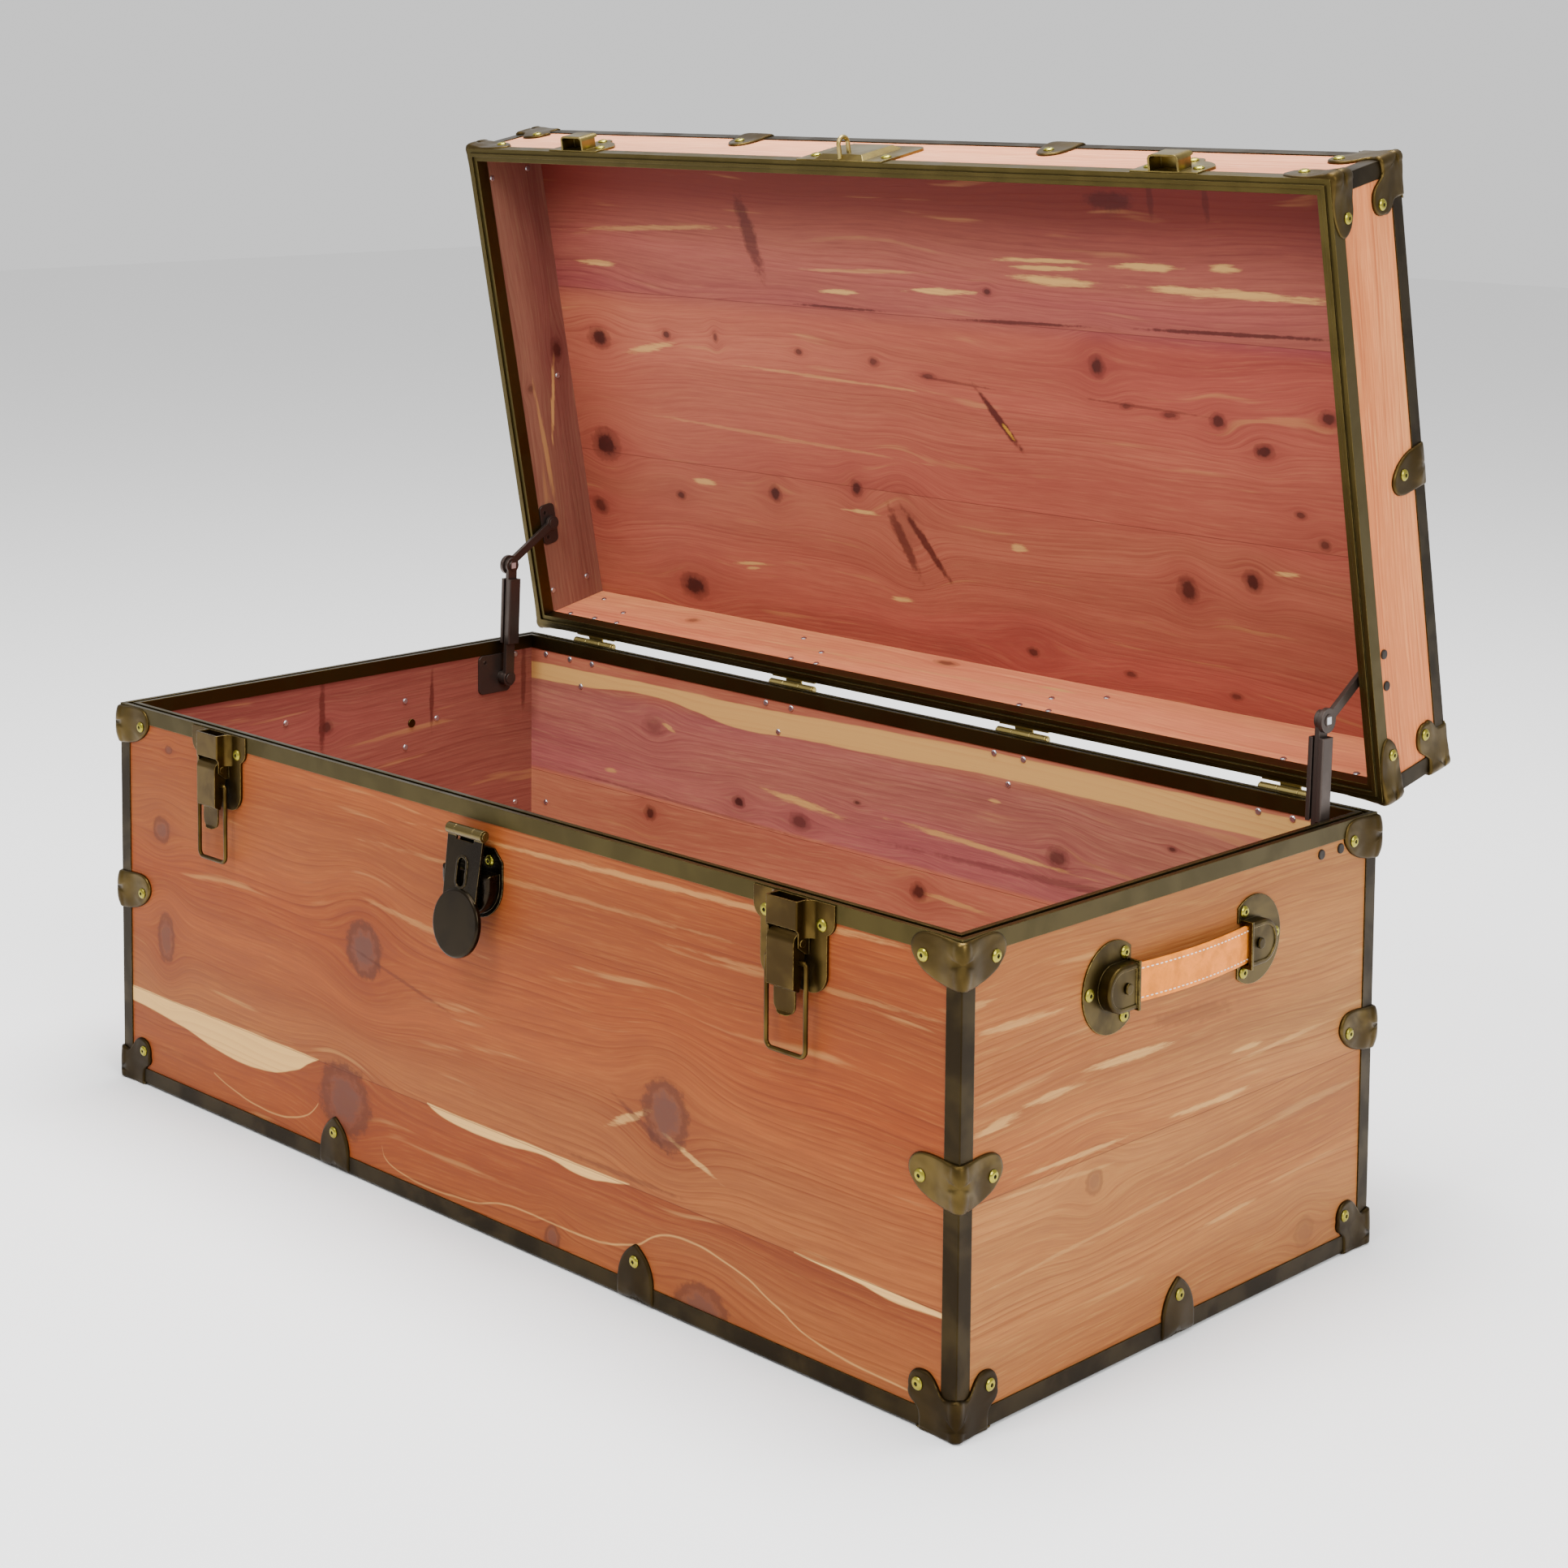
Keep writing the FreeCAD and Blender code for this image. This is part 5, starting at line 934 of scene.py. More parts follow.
# Wood features are given in millimetres along and across the grain, as read off the walls.
# A knot: (along, across, half length, half width, swirl, darkness)
KNOTS = {
    "base_front_panel": [
        (-401, 222, 10, 9, 2.8, 0.75), (-396, 132, 10, 17, 2.4, 0.75), (-133, 181, 17, 18, 2.8, 0.95),
        (-157, 58, 25, 24, 2.0, 0.85), (197, 140, 18, 20, 2.4, 0.9), (82, 20, 7, 7, 2.6, 0.75),
        (233, 14, 21, 15, 2.6, 0.8), (-390, 291, 4, 3, 2.6, 0.7)],
    "base_right_panel": [(-93, 131, 8, 7, 4.2, 0.5), (150, 30, 10, 9, 2.6, 0.25)],
    "base_back_panel": [
        (-281, 260, 13, 9, 2.6, 0.35), (-286, 180, 7, 6, 3.0, 0.9), (-174, 211, 7, 5, 3.0, 0.95),
        (-101, 207, 11, 7, 2.6, 0.65), (178, 231, 10, 8, 2.8, 0.7), (34, 174, 8, 7, 3.0, 0.9),
        (-35, 236, 4, 2, 2.6, 0.8), (287, 260, 4, 2, 2.6, 0.8), (330, 120, 12, 9, 2.4, 0.7),
        (-330, 70, 14, 10, 2.4, 0.7)],
    "base_left_panel": [
        (-22, 268, 6, 6, 2.6, 0.85), (-60, 150, 10, 8, 2.6, 0.6), (120, 60, 9, 7, 2.6, 0.7)],
    "base_floor_panel": [
        (-210, -60, 12, 9, 2.6, 0.8), (120, 90, 10, 8, 2.6, 0.8), (300, -150, 13, 10, 2.6, 0.7)],
    "lid_left_panel": [(-24, 383, 11, 6, 2.6, 0.9), (4, 345, 4, 4, 2.6, 0.5)],
    "lid_back_panel": [(-7, 386, 12, 5, 2.6, 0.75), (-300, 372, 7, 5, 2.6, 0.6)],
    "lid_top_panel": [
        (-401, -36, 13, 9, 3.0, 1.0), (-412, 69, 16, 14, 2.8, 1.0), (-432, 127, 9, 9, 2.6, 0.8),
        (-318, 196, 16, 11, 3.0, 1.0), (-197, 93, 7, 7, 3.0, 0.95), (-97, 77, 6, 7, 3.0, 0.95),
        (-319, 108, 6, 4, 2.8, 0.85), (-310, -45, 5, 4, 2.8, 0.85), (-247, -47, 3, 5, 2.6, 0.7),
        (-146, -41, 5, 3, 2.6, 0.75), (-59, -39, 6, 4, 2.6, 0.75), (0, -31, 8, 3, 2.6, 0.7),
        (178, -54, 7, 8, 3.0, 0.95), (289, -19, 7, 6, 3.0, 0.9), (328, 1, 8, 6, 2.8, 0.95),
        (388, -30, 8, 6, 2.6, 0.9), (203, -25, 6, 3, 2.6, 0.7), (244, -20, 8, 3, 2.6, 0.7),
        (356, 48, 5, 3, 2.6, 0.75), (375, 69, 5, 4, 2.6, 0.75), (245, 122, 9, 10, 2.8, 0.9),
        (307, 107, 8, 8, 2.8, 0.95), (81, 199, 6, 4, 7.5, 0.8), (180, 203, 6, 3, 2.6, 0.7),
        (282, 205, 6, 3, 2.6, 0.7), (74, -108, 4, 3, 2.6, 0.8), (-44, 104, 15, 22, 2.4, 0.25)],
}

# A pale streak or a dark mark: (along, across, half length, half width, slope, strength)
STREAKS = {
    "base_front_panel": [
        (210, 299, 230, 2.4, 0.03, 0.32), (60, 270, 190, 2.0, 0.02, 0.15), (160, 128, 22, 3, 0.5, 0.5),
        (220, 118, 26, 2.0, -0.35, 0.5), (-60, 214, 70, 2.5, -0.1, 0.2),
        (330, 262, 120, 2.0, 0.02, 0.18)],
    "base_right_panel": [
        (-174, 255, 42, 2.6, -0.02, 0.4), (-58, 206, 42, 2.8, -0.03, 0.56),
        (-135, 200, 30, 2.6, 0.02, 0.46), (-192, 194, 22, 3.4, 0.1, 0.49),
        (-108, 153, 54, 1.7, -0.01, 0.46), (36, 153, 50, 2.2, -0.01, 0.53), (76, 182, 16, 2.0, 0.0, 0.53),
        (118, 176, 54, 1.6, 0.03, 0.33), (60, 69, 32, 1.6, 0.06, 0.4), (-138, 142, 70, 1.4, -0.06, 0.23),
        (90, 120, 110, 1.3, 0.04, 0.2), (-60, 96, 130, 1.4, 0.05, 0.2), (-217, 275, 20, 2.6, 0.0, 0.3)],
    "base_back_panel": [
        (-100, 224, 42, 3.2, -0.09, 0.85), (98, 225, 92, 2.5, -0.04, 0.75),
        (72, 173, 32, 2.0, -0.05, 0.6), (-338, 210, 8, 2.3, 0.0, 0.7), (113, 265, 7, 2.0, 0.0, 0.7),
        (-262, 262, 8, 2.4, -0.4, 0.7)],
    "lid_left_panel": [(20, 370, 40, 2.0, -0.2, 0.7), (60, 352, 60, 2.5, 0.05, 0.4)],
    "lid_back_panel": [(116, 377, 18, 2.4, 0.0, 0.7), (-40, 362, 200, 2.2, 0.01, 0.3)],
    "lid_top_panel": [
        (133, -137, 46, 1.9, -0.02, 0.95), (140, -131, 33, 1.9, -0.02, 0.9),
        (236, -137, 29, 3.2, -0.02, 1.0), (306, -140, 14, 3.4, 0.0, 1.0), (143, -121, 38, 4.0, 0.02, 1.0),
        (306, -120, 82, 3.6, 0.0, 1.0), (22, -105, 34, 2.8, -0.03, 1.0), (-93, -98, 21, 2.0, -0.02, 0.9),
        (-390, -108, 25, 3.0, 0.0, 0.8), (-313, -144, 90, 2.4, -0.05, 0.45),
        (-56, -118, 66, 1.8, -0.04, 0.4), (-286, 92, 13, 3.0, 0.0, 0.8), (-95, 98, 18, 2.0, 0.0, 0.95),
        (-240, 164, 18, 1.7, -0.1, 0.8), (-236, 168, 9, 1.5, -0.1, 0.7), (-60, 173, 13, 2.6, -0.05, 0.9),
        (77, 109, 8, 3.8, 0.0, 0.8), (340, 97, 12, 1.9, -0.05, 0.85), (-337, -30, 30, 3.4, -0.19, 0.7),
        (-120, -20, 110, 1.4, 0.03, 0.35), (-180, 40, 150, 1.6, 0.04, 0.25)],
}

MARKS = {
    "base_front_panel": [
        (172, 128, 30, 2.4, -0.5, 0.5), (-90, 168, 60, 1.4, -0.2, 0.45), (150, 86, 60, 2.0, 0, 0.4)],
    "base_right_panel": [(13, 219, 48, 6.0, -0.1, 0.28), (60, 236, 34, 2.0, 0.05, 0.25)],
    "base_left_panel": [
        (-27, 278, 33, 3.4, 60, 0.75), (98, 275, 25, 2.4, 60, 0.75), (209, 282, 32, 3, 60, 0.6)],
    "base_back_panel": [(200, 212, 190, 3.0, 0.02, 0.35), (-240, 196, 150, 1.3, -0.02, 0.35)],
    "lid_top_panel": [
        (72, 0, 31, 3.6, 1.19, 0.95), (-24, 119, 36, 4.0, 1.36, 0.85), (-50, 118, 33, 5.5, 2.2, 0.7),
        (-188, -143, 36, 8.0, 3.7, 0.65), (206, -188, 22, 8.0, 0.0, 0.7), (245, -192, 16, 3.0, 60, 0.5),
        (296, -190, 15, 3.0, 60, 0.5), (-93, -84, 48, 1.3, 0.0, 0.75), (102, -84, 64, 1.5, -0.02, 0.8),
        (309, -89, 86, 1.7, -0.02, 0.8), (30, -28, 40, 1.2, 0.06, 0.5), (220, -24, 60, 1.2, 0.04, 0.45)],
}

# Bands of sapwood or single pale growth lines, their edges through (along, low edge, high edge)
BANDS = {
    "base_front_panel": [
        [(-458, 69, 81), (-376, 63, 81), (-321, 54.5, 81), (-268, 53.6, 81), (-222, 64.5, 81),
         (-200, 76, 81), (-190, 81, 81)],
        [(-58, 80.6, 81), (-13, 72.5, 81), (36, 74, 81), (74, 77, 81), (115, 73.5, 81), (140, 77, 81),
         (162, 81, 81)],
        [(318, 80.5, 81), (376, 77, 80.2), (401, 74.5, 79.8), (425, 74.8, 79.4), (458, 76, 78.6)],
        [(-330, 34.4, 35.2), (-275, 22.8, 23.7), (-229, 24.3, 25.3), (-191, 45.2, 46.2)],
        [(-112, 33.2, 34), (-70, 16.4, 17.3), (-13, 19, 20), (42, 29.3, 30.3), (115, 29.5, 30.7),
         (166, 39.2, 40.5), (219, 57.6, 58.8), (256, 53.5, 54.7), (302, 38.5, 39.7), (355, 23, 24.1),
         (418, 20.3, 21.3), (452, 19, 20)]],
    "base_back_panel": [
        [(-458, 278.5, 294.5), (-360, 282.5, 296.5), (-293, 287, 297.5), (-229, 282.5, 297.9),
         (-167, 276, 297.5), (-100, 279, 299.5), (6, 281.6, 302.6), (106, 284.9, 304.3),
         (289, 284, 304.3), (458, 285, 304.3)]],
}

# A band under this width in millimetres is a single growth line, and shows with this strength
THIN_BAND, THIN_SHARE = 4.0, 0.5

# Where the heartwood inside is rose instead of salmon: (from, to) across the grain
ROSE = {"base_back_panel": (196, 279), "lid_top_panel": (-230, -82)}

# Where a painted shadow browns a board's inside across the grain, for the lid front wall's shadow: (start,
# full, most)
PAINTED_SHADOW = {"lid_top_panel": (-128, -188, 0.82)}


def sawn_mask(board, grain, ragged, along, across, half_length, half_width, slope, strength):
    """Mask of one streak: strength inside the ellipse that runs along the slope, with a ragged edge."""
    scaled = board.put("ShaderNodeMapping", {
        "Vector": grain, "Location": (along * MM, across * MM, 0), "Rotation": (0, 0, math.atan(slope)),
        "Scale": (half_length * MM, half_width * MM, FAR)}, vector_type="TEXTURE").outputs[0]
    r = board.plus(board.vector("LENGTH", scaled), ragged)
    return board.span(r, 1.65, 0.95, 0.0, strength)


def band_mask(board, grain, keys):
    """Mask of one band: 1 between two curves that give its low and high edge for each place along it."""
    along, across, _ = board.split(grain)
    first, last = keys[0][0], keys[-1][0]
    low = min(key[1] for key in keys) - 10
    tall = max(key[2] for key in keys) + 10 - low
    share = board.span(along, first * MM, last * MM, smooth=False)
    wobble = board.noise(board.stretched(grain, (22, 80, 1)), 1.0, 2.0, 0.5)
    level = board.scaled(wobble, 2.4 * MM, board.plus(across, -1.2 * MM))
    edges = []
    for side in (1, 2):
        curve = [((key[0] - first) / (last - first), (key[side] - low) / tall) for key in keys]
        run = board.curve(share, curve)
        edges.append(board.scaled(run, tall * MM, low * MM))
    above = board.span(board.math("SUBTRACT", level, edges[0]), -0.7 * MM, 0.7 * MM)
    below = board.span(board.math("SUBTRACT", edges[1], level), -0.7 * MM, 0.7 * MM)
    begun = board.math("GREATER_THAN", along, first * MM)
    inside = board.times(begun, board.math("LESS_THAN", along, last * MM))
    return board.times(board.times(above, below), inside)


# A wall: its coordinates along, across and through the grain; the places of its boards' seams across
# the grain, in millimetres; a number that sets its pattern apart; where its inside colour starts and is
# reached; factors on the outside and the inside colour, partly the wall's own tint and partly painted
# light that makes each wall as bright as it is lit; and how far its growth lines wander
Wall = namedtuple("Wall", "axes seams seed inner outside inside waves")

SKIN = 2.0 * MM
FLOOR_FACE = 2.0 * MM
PLAIN = (1, 1, 1)


def inner_side(axis, face, inwards):
    """The coordinate through a wall, where its inside colour starts and where it is reached."""
    return axis, face + inwards * SKIN, face + inwards * 2 * SKIN


FRONT = inner_side("Y", -HALF_DEPTH, 1)
BACK = inner_side("Y", HALF_DEPTH, -1)
RIGHT = inner_side("X", HALF_LENGTH, -1)
LEFT = inner_side("X", -HALF_LENGTH, 1)
FLOOR = inner_side("Z", FLOOR_FACE, 1)
TOP = inner_side("Z", HEIGHT, -1)

WALLS = {
    "base_front_panel": Wall("XZY", [80], 1.3, FRONT, PLAIN, PLAIN, 0.01),
    "base_back_panel": Wall("XZY", [192], 5.1, BACK, PLAIN, (1.4, 2.1, 2.2), 0.012),
    "base_right_panel": Wall("YZX", [148], 9.7, RIGHT, (1.22, 1.62, 1.75), PLAIN, 0.012),
    "base_left_panel": Wall("YZX", [148], 14.2, LEFT, PLAIN, (0.72, 0.92, 1.2), 0.012),
    "base_floor_panel": Wall("XYZ", [-76, 76], 17.9, FLOOR, PLAIN, PLAIN, 0.02),
    "lid_front_panel": Wall("XZY", [], 21.4, FRONT, (2.6, 3.85, 8.2), PLAIN, 0.008),
    "lid_back_panel": Wall("XZY", [], 25.8, BACK, PLAIN, (2.5, 4.0, 3.3), 0.008),
    "lid_right_panel": Wall("YZX", [], 29.3, RIGHT, (2.55, 2.95, 3.9), PLAIN, 0.006),
    "lid_left_panel": Wall("YZX", [], 33.6, LEFT, PLAIN, (0.7, 1.2, 1.5), 0.016),
    "lid_top_panel": Wall("XYZ", [-82, 76], 37.2, TOP, PLAIN, (1.08, 1.15, 1.36), 0.017),
}

LINES_PER_METRE = 190.0

# Shares with which the parts of the figure show in the colour, and how a share changes inside
TONE_SHARE = 0.68
BLUSH_SHARE = 0.42
PALER_SHARE = 0.34
LINE_SHARE = 0.55
LINE_SHARE_LESS_INSIDE = -0.17
HALO_SHARE = 0.3
FLECK_SHARE = 0.22
SAP_LINE_SHARE = 0.3
RING_SHARE = 0.8
RING_SHARE_LESS_INSIDE = -0.45
CORE_SHARE = 0.95
JOINT_SHARE = 0.55

# The resin in the lid's long mark, laid out as a dark mark is
RESIN = (80, 9, 9, 1.7, 1.19, 1.0)


def boards_apart(board, across, wall):
    """A number that differs from board to board, and the mask of the joints between them."""
    number, joint = 0.0, 0.0
    for seam in wall.seams:
        number = board.plus(board.math("GREATER_THAN", across, seam * MM), number)
        off = board.math("ABSOLUTE", board.plus(across, -seam * MM))
        joint = board.larger(board.span(off, 0.5 * MM, 0.12 * MM), joint)
    seed = board.scaled(number, 7.31, wall.seed) if wall.seams else wall.seed
    return seed, joint


def knotted(board, node, grain, rough):
    """The grain pushed aside by the wall's knots, with the masks of their cores, rings and halos."""
    state = {"Grain": grain, "Core": 0.0, "Ring": 0.0, "Halo": 0.0}
    for x, y, long, wide, swirl, dark in KNOTS.get(node, []):
        knot = board.group(once("Knot", make_knot), {
            "Rough": rough, "Centre": (x * MM, y * MM, 0), "Size": (long * MM, wide * MM, FAR),
            "Swirl": swirl, "Dark": dark, **state})
        state = {key: knot[key] for key in state}
    return state


def heartwood(board, node, colours, across, shade, blush):
    """The light and the dark colour of the wall's heartwood, rose inside where the wall has it."""
    inside, inside_dark = colours.inside, colours.inside_dark
    if node in ROSE:
        low, high = ROSE[node]
        above = board.span(across, (low - 3) * MM, (low + 1) * MM)
        below = board.span(across, (high + 14) * MM, (high - 6) * MM)
        rosy = board.times(board.times(above, below), board.span(blush, 0.0, 1.0, 1.0, 0.55))
        inside = board.blend(rosy, inside, colours.rose)
        inside_dark = board.blend(rosy, inside_dark, colours.rose_dark)
    light = board.blend(shade, colours.outside, inside)
    return light, board.blend(shade, colours.outside_dark, inside_dark)


def figured(board, figure, halo, light, dark, paler, shade):
    """The heartwood with its broad tones, paler patches, growth lines, fibres and its knots' halos."""
    warm = board.blend(board.times(figure["Tone"], TONE_SHARE), light, dark)
    warm = board.blend(board.times(figure["Blush"], BLUSH_SHARE), warm, paler)
    lines = board.scaled(shade, LINE_SHARE_LESS_INSIDE, LINE_SHARE)
    lined = board.blend(board.times(figure["Line"], lines, clamp=True), warm, dark)
    fine = board.span(figure["Fibre"], 0.35, 0.7, -0.22, 0.2, smooth=False)
    fibre = board.blend(board.math("GREATER_THAN", fine, 0.0), dark, paler)
    lined = board.blend(board.math("ABSOLUTE", fine), lined, fibre)
    return board.blend(board.times(halo, HALO_SHARE), lined, dark)


def pale_share(board, node, grain, fleck, ragged):
    """Mask of the sapwood: small flecks, the wall's streaks and its bands."""
    pale = board.times(fleck, FLECK_SHARE)
    for streak in STREAKS.get(node, []):
        pale = board.larger(pale, sawn_mask(board, grain, ragged, *streak))
    for keys in BANDS.get(node, []):
        strength = THIN_SHARE if max(key[2] - key[1] for key in keys) < THIN_BAND else 1.0
        band = board.times(band_mask(board, grain, keys), strength)
        pale = board.larger(pale, band)
    return pale


def cedar_material(node, colours):
    """Cedar for one wall: heartwood, sapwood over it, then knots, dark marks and its boards' joints."""
    made, board, shader, place = new_material(node.replace("_", " "))
    if node.startswith("lid"):
        place = board.group(once("Shut lid", make_closed_frame), {"Place": place})["Place"]
    wall = WALLS[node]
    xyz = board.split(place)
    along, across, depth = (xyz["XYZ".index(axis)] for axis in wall.axes)
    grain = board.join(along, across, depth)
    seed, joint = boards_apart(board, across, wall)
    rough = board.noise(board.stretched(grain, (150, 150, 1)), 1.0, 3.0, 0.6)
    state = knotted(board, node, grain, rough)
    figure = board.group(once("Cedar figure", make_cedar), {
        "Grain": state["Grain"], "Seed": seed, "Waves": wall.waves, "Lines per metre": LINES_PER_METRE})
    axis, start, full = wall.inner
    shade = board.span(xyz["XYZ".index(axis)], start, full)
    light, dark = heartwood(board, node, colours, across, shade, figure["Blush"])
    paler = board.blend(PALER_SHARE, light, colours.sapwood)
    lined = figured(board, figure, state["Halo"], light, dark, paler, shade)
    # Each wall's factors: partly its own tint, partly painted light that brightens or darkens the wall as
    # it is lit
    lined = board.blend(1.0, lined, board.blend(shade, wall.outside, wall.inside), "MULTIPLY")
    # Painted shadow: the board's inside browns towards the lid's front wall, where that wall's shadow falls
    if node in PAINTED_SHADOW:
        start, full, most = PAINTED_SHADOW[node]
        painted_shadow = board.times(board.span(across, start * MM, full * MM), most)
        lined = board.blend(board.times(painted_shadow, shade), lined, colours.painted_shadow)
    noise = board.noise(board.stretched(grain, (45, 420, 1)), 1.0, 4.0, 0.62)
    ragged = board.span(noise, 0.25, 0.75, -0.1, 0.9, smooth=False)
    soft = board.span(rough, 0.25, 0.75, 0.05, 0.65, smooth=False)
    sap_line = board.times(figure["Line"], SAP_LINE_SHARE, clamp=True)
    pale = pale_share(board, node, grain, figure["Fleck"], ragged)
    lined = board.blend(pale, lined, board.blend(sap_line, colours.sapwood, light))
    knot_face = board.blend(shade, colours.knot_outside, colours.knot)
    knot_ring = board.blend(shade, colours.knot_ring, colours.knot)
    ring_share = board.scaled(shade, RING_SHARE_LESS_INSIDE, RING_SHARE)
    ring_share = board.times(state["Ring"], ring_share)
    ringed = board.blend(ring_share, lined, board.blend(0.3, knot_ring, dark))
    heart = board.blend(board.times(rough, 0.6), knot_face, board.blend(0.5, knot_face, dark))
    whole = board.blend(board.times(state["Core"], CORE_SHARE), ringed, heart)
    marked = 0.0
    for mark in MARKS.get(node, []):
        marked = board.larger(marked, sawn_mask(board, grain, soft, *mark))
    whole = board.blend(marked, whole, board.blend(0.35, colours.knot, dark))
    if node == "lid_top_panel":
        whole = board.blend(sawn_mask(board, grain, ragged, *RESIN), whole, colours.resin)
    open_joint = board.times(joint, JOINT_SHARE)
    whole = board.blend(open_joint, whole, board.blend(0.5, dark, colours.knot))
    board.feed(shader["Base Color"], whole)
    board.feed(shader["Roughness"], board.span(figure["Fibre"], 0.2, 0.8, 0.42, 0.58))
    shader["Specular IOR Level"].default_value = 0.12
    height = board.scaled(figure["Line"], -0.5, figure["Fibre"])
    height = board.scaled(joint, -2.0, height)
    bump = board.put("ShaderNodeBump", {"Strength": 0.22, "Distance": 0.4 * MM, "Height": height})
    board.feed(shader["Normal"], bump.outputs[0])
    return made


class TRUNK_OT_boards(bpy.types.Operator):
    """Gives every cedar board its grain, knots and sapwood"""
    bl_idname = "trunk.boards"
    bl_label = "Cedar boards"

    def execute(self, context):
        for node in WALLS:
            dress([node], cedar_material(node, context.scene.trunk_colours))
        return {"FINISHED"}


class TRUNK_OT_trim(bpy.types.Operator):
    """Coats the edge bindings and the two rim channels"""
    bl_idname = "trunk.trim"
    bl_label = "Bindings and rims"

    def execute(self, context):
        colours = context.scene.trunk_colours
        dress(["base_corner_bindings", "base_bottom_bindings", "lid_corner_bindings", "lid_top_bindings"],
              metal_material("edge binding", colours))
        dress(["base_rim_channel"], metal_material("rim channel", colours))
        # The lid's rim channel is painted lighter than the base's, for the light it catches
        dress(["lid_rim_channel"], metal_material("lid rim channel painted lighter", colours))
        return {"FINISHED"}


class TRUNK_OT_caps(bpy.types.Operator):
    """Makes the pressed caps and clamps on the corners and edges"""
    bl_idname = "trunk.caps"
    bl_label = "Corner caps and clamps"

    def execute(self, context):
        sizes, colours = context.scene.trunk_sizes, context.scene.trunk_colours
        brass = metal_material("antique brass", colours)
        # Darker brass for the caps and clamps near the floor
        low_brass = metal_material("darkened brass", colours)
        rim_top = RIM - 1.5 * MM
        put_caps("rim_caps", heart_caps(rim_top, sizes, True), ["base_rim_corner_caps"], "base", brass)
        put_caps("edge_clamps", heart_caps(CLAMP_TOP, sizes, False), ["base_edge_clamps"], "base", brass)
        put_caps("foot_caps", foot_sheets(sizes), ["base_foot_caps"], "base", low_brass)
        put_caps("bottom_clamps", tongue_clamps(sizes), ["base_bottom_clamps"], "base", low_brass)
        put_caps("lid_rim_caps", lid_rim_sheets(sizes), ["lid_rim_corner_caps"], "lid", brass)
        lid_corners = upside_down(foot_sheets(sizes))
        put_caps("lid_corner_caps", lid_corners, ["lid_top_corner_caps"], "lid", brass)
        put_caps("lid_clamps", lid_edge_sheets(sizes), ["lid_edge_clamps"], "lid", brass)
        return {"FINISHED"}


class TRUNK_OT_rivets(bpy.types.Operator):
    """Finishes the rivets: bright brass heads outside, silvery clinched ends inside"""
    bl_idname = "trunk.rivets"
    bl_label = "Rivets and screws"

    def execute(self, context):
        colours = context.scene.trunk_colours
        dress(["base_rivets"], self.rivets("base rivets", colours, False))
        dress(["lid_rivets"], self.rivets("lid rivets", colours, True))
        dress(["stay_base_screws", "stay_lid_screws"], metal_material("stay screws", colours))
        return {"FINISHED"}

    @staticmethod
    def rivets(name, colours, lid):
        """Brass outside the walls and steel inside them, told apart by the place in the case."""
        made, board, shader, place = new_material(name)
        if lid:
            place = board.group(once("Shut lid", make_closed_frame), {"Place": place})["Place"]
        xyz = board.split(place)
        skin = BOARD - 0.5 * MM
        in_x = board.math("LESS_THAN", board.math("ABSOLUTE", xyz[0]), HALF_LENGTH - skin)
        in_y = board.math("LESS_THAN", board.math("ABSOLUTE", xyz[1]), HALF_DEPTH - skin)
        inside = board.times(in_x, in_y)
        wear = board.group(once("Rubbed metal", make_wear), {
            "Place": place, "Radius": 0.4 * MM, "Depth": 2.2 * MM})
        dull = board.times(wear["Blotch"], 0.4)
        tarnish_and_shade = board.blend(dull, colours.rivet, colours.rivet_dull)
        # Painted shade: each rivet's dimple goes dark where the head closes it in
        tarnish_and_shade = board.blend(board.span(wear["Open"], 0.97, 0.80), tarnish_and_shade, colours.hollow_dark)
        steel = board.blend(wear["Blotch"], colours.steel, colours.steel_dull)
        board.feed(shader["Base Color"], board.blend(inside, tarnish_and_shade, steel))
        board.feed(shader["Roughness"], board.span(wear["Blotch"], 0, 1, 0.24, 0.38))
        board.feed(shader["Normal"], wear["Normal"])
        shader["Metallic"].default_value = 0.95
        return made


class TRUNK_OT_hardware(bpy.types.Operator):
    """Finishes the hinges, latches, catches, hasp, lock and staple"""
    bl_idname = "trunk.hardware"
    bl_label = "Latches, hasp and hinges"

    def execute(self, context):
        colours = context.scene.trunk_colours
        dress(["left_latch_plate", "right_latch_plate", "left_latch_lever", "right_latch_lever",
               "left_latch_bail", "right_latch_bail", "latch_pins"], metal_material("aged brass", colours))
        dress(["left_lid_catch", "right_lid_catch", "hasp_staple_plate"],
              metal_material("rubbed brass", colours))
        dress(["hasp", "lock_plate", "hasp_pin"], metal_material("dark bronze", colours))
        dress(["hinge_pins", "hinge_base_leaves", "hinge_lid_leaves", "hasp_staple"],
              metal_material("bright brass", colours))
        return {"FINISHED"}


class TRUNK_OT_stays(bpy.types.Operator):
    """Paints the lid stays dark bronze"""
    bl_idname = "trunk.stays"
    bl_label = "Lid stays"

    def execute(self, context):
        paint = metal_material("bronze paint", context.scene.trunk_colours)
        for side in ("left", "right"):
            dress([side + "_stay_" + part for part in
                   ("base_bracket", "sleeve", "lower_arm", "upper_arm", "lid_bracket")], paint)
        return {"FINISHED"}


# The strap's line: how far its ends stand off the wall and how much further its middle does, how far from
# the middle it is bowed, and the points along it and round it
STRAP_END_OFF = 5.5 * MM
STRAP_BOW = 4.7 * MM
STRAP_BEND = 63.0 * MM
STRAP_RINGS = 90
STRAP_CORNERS = 40

# The section's thickness at its edges and what its crown adds, as shares of the strap's thickness
STRAP_BODY = 0.97
STRAP_CROWN = 0.10

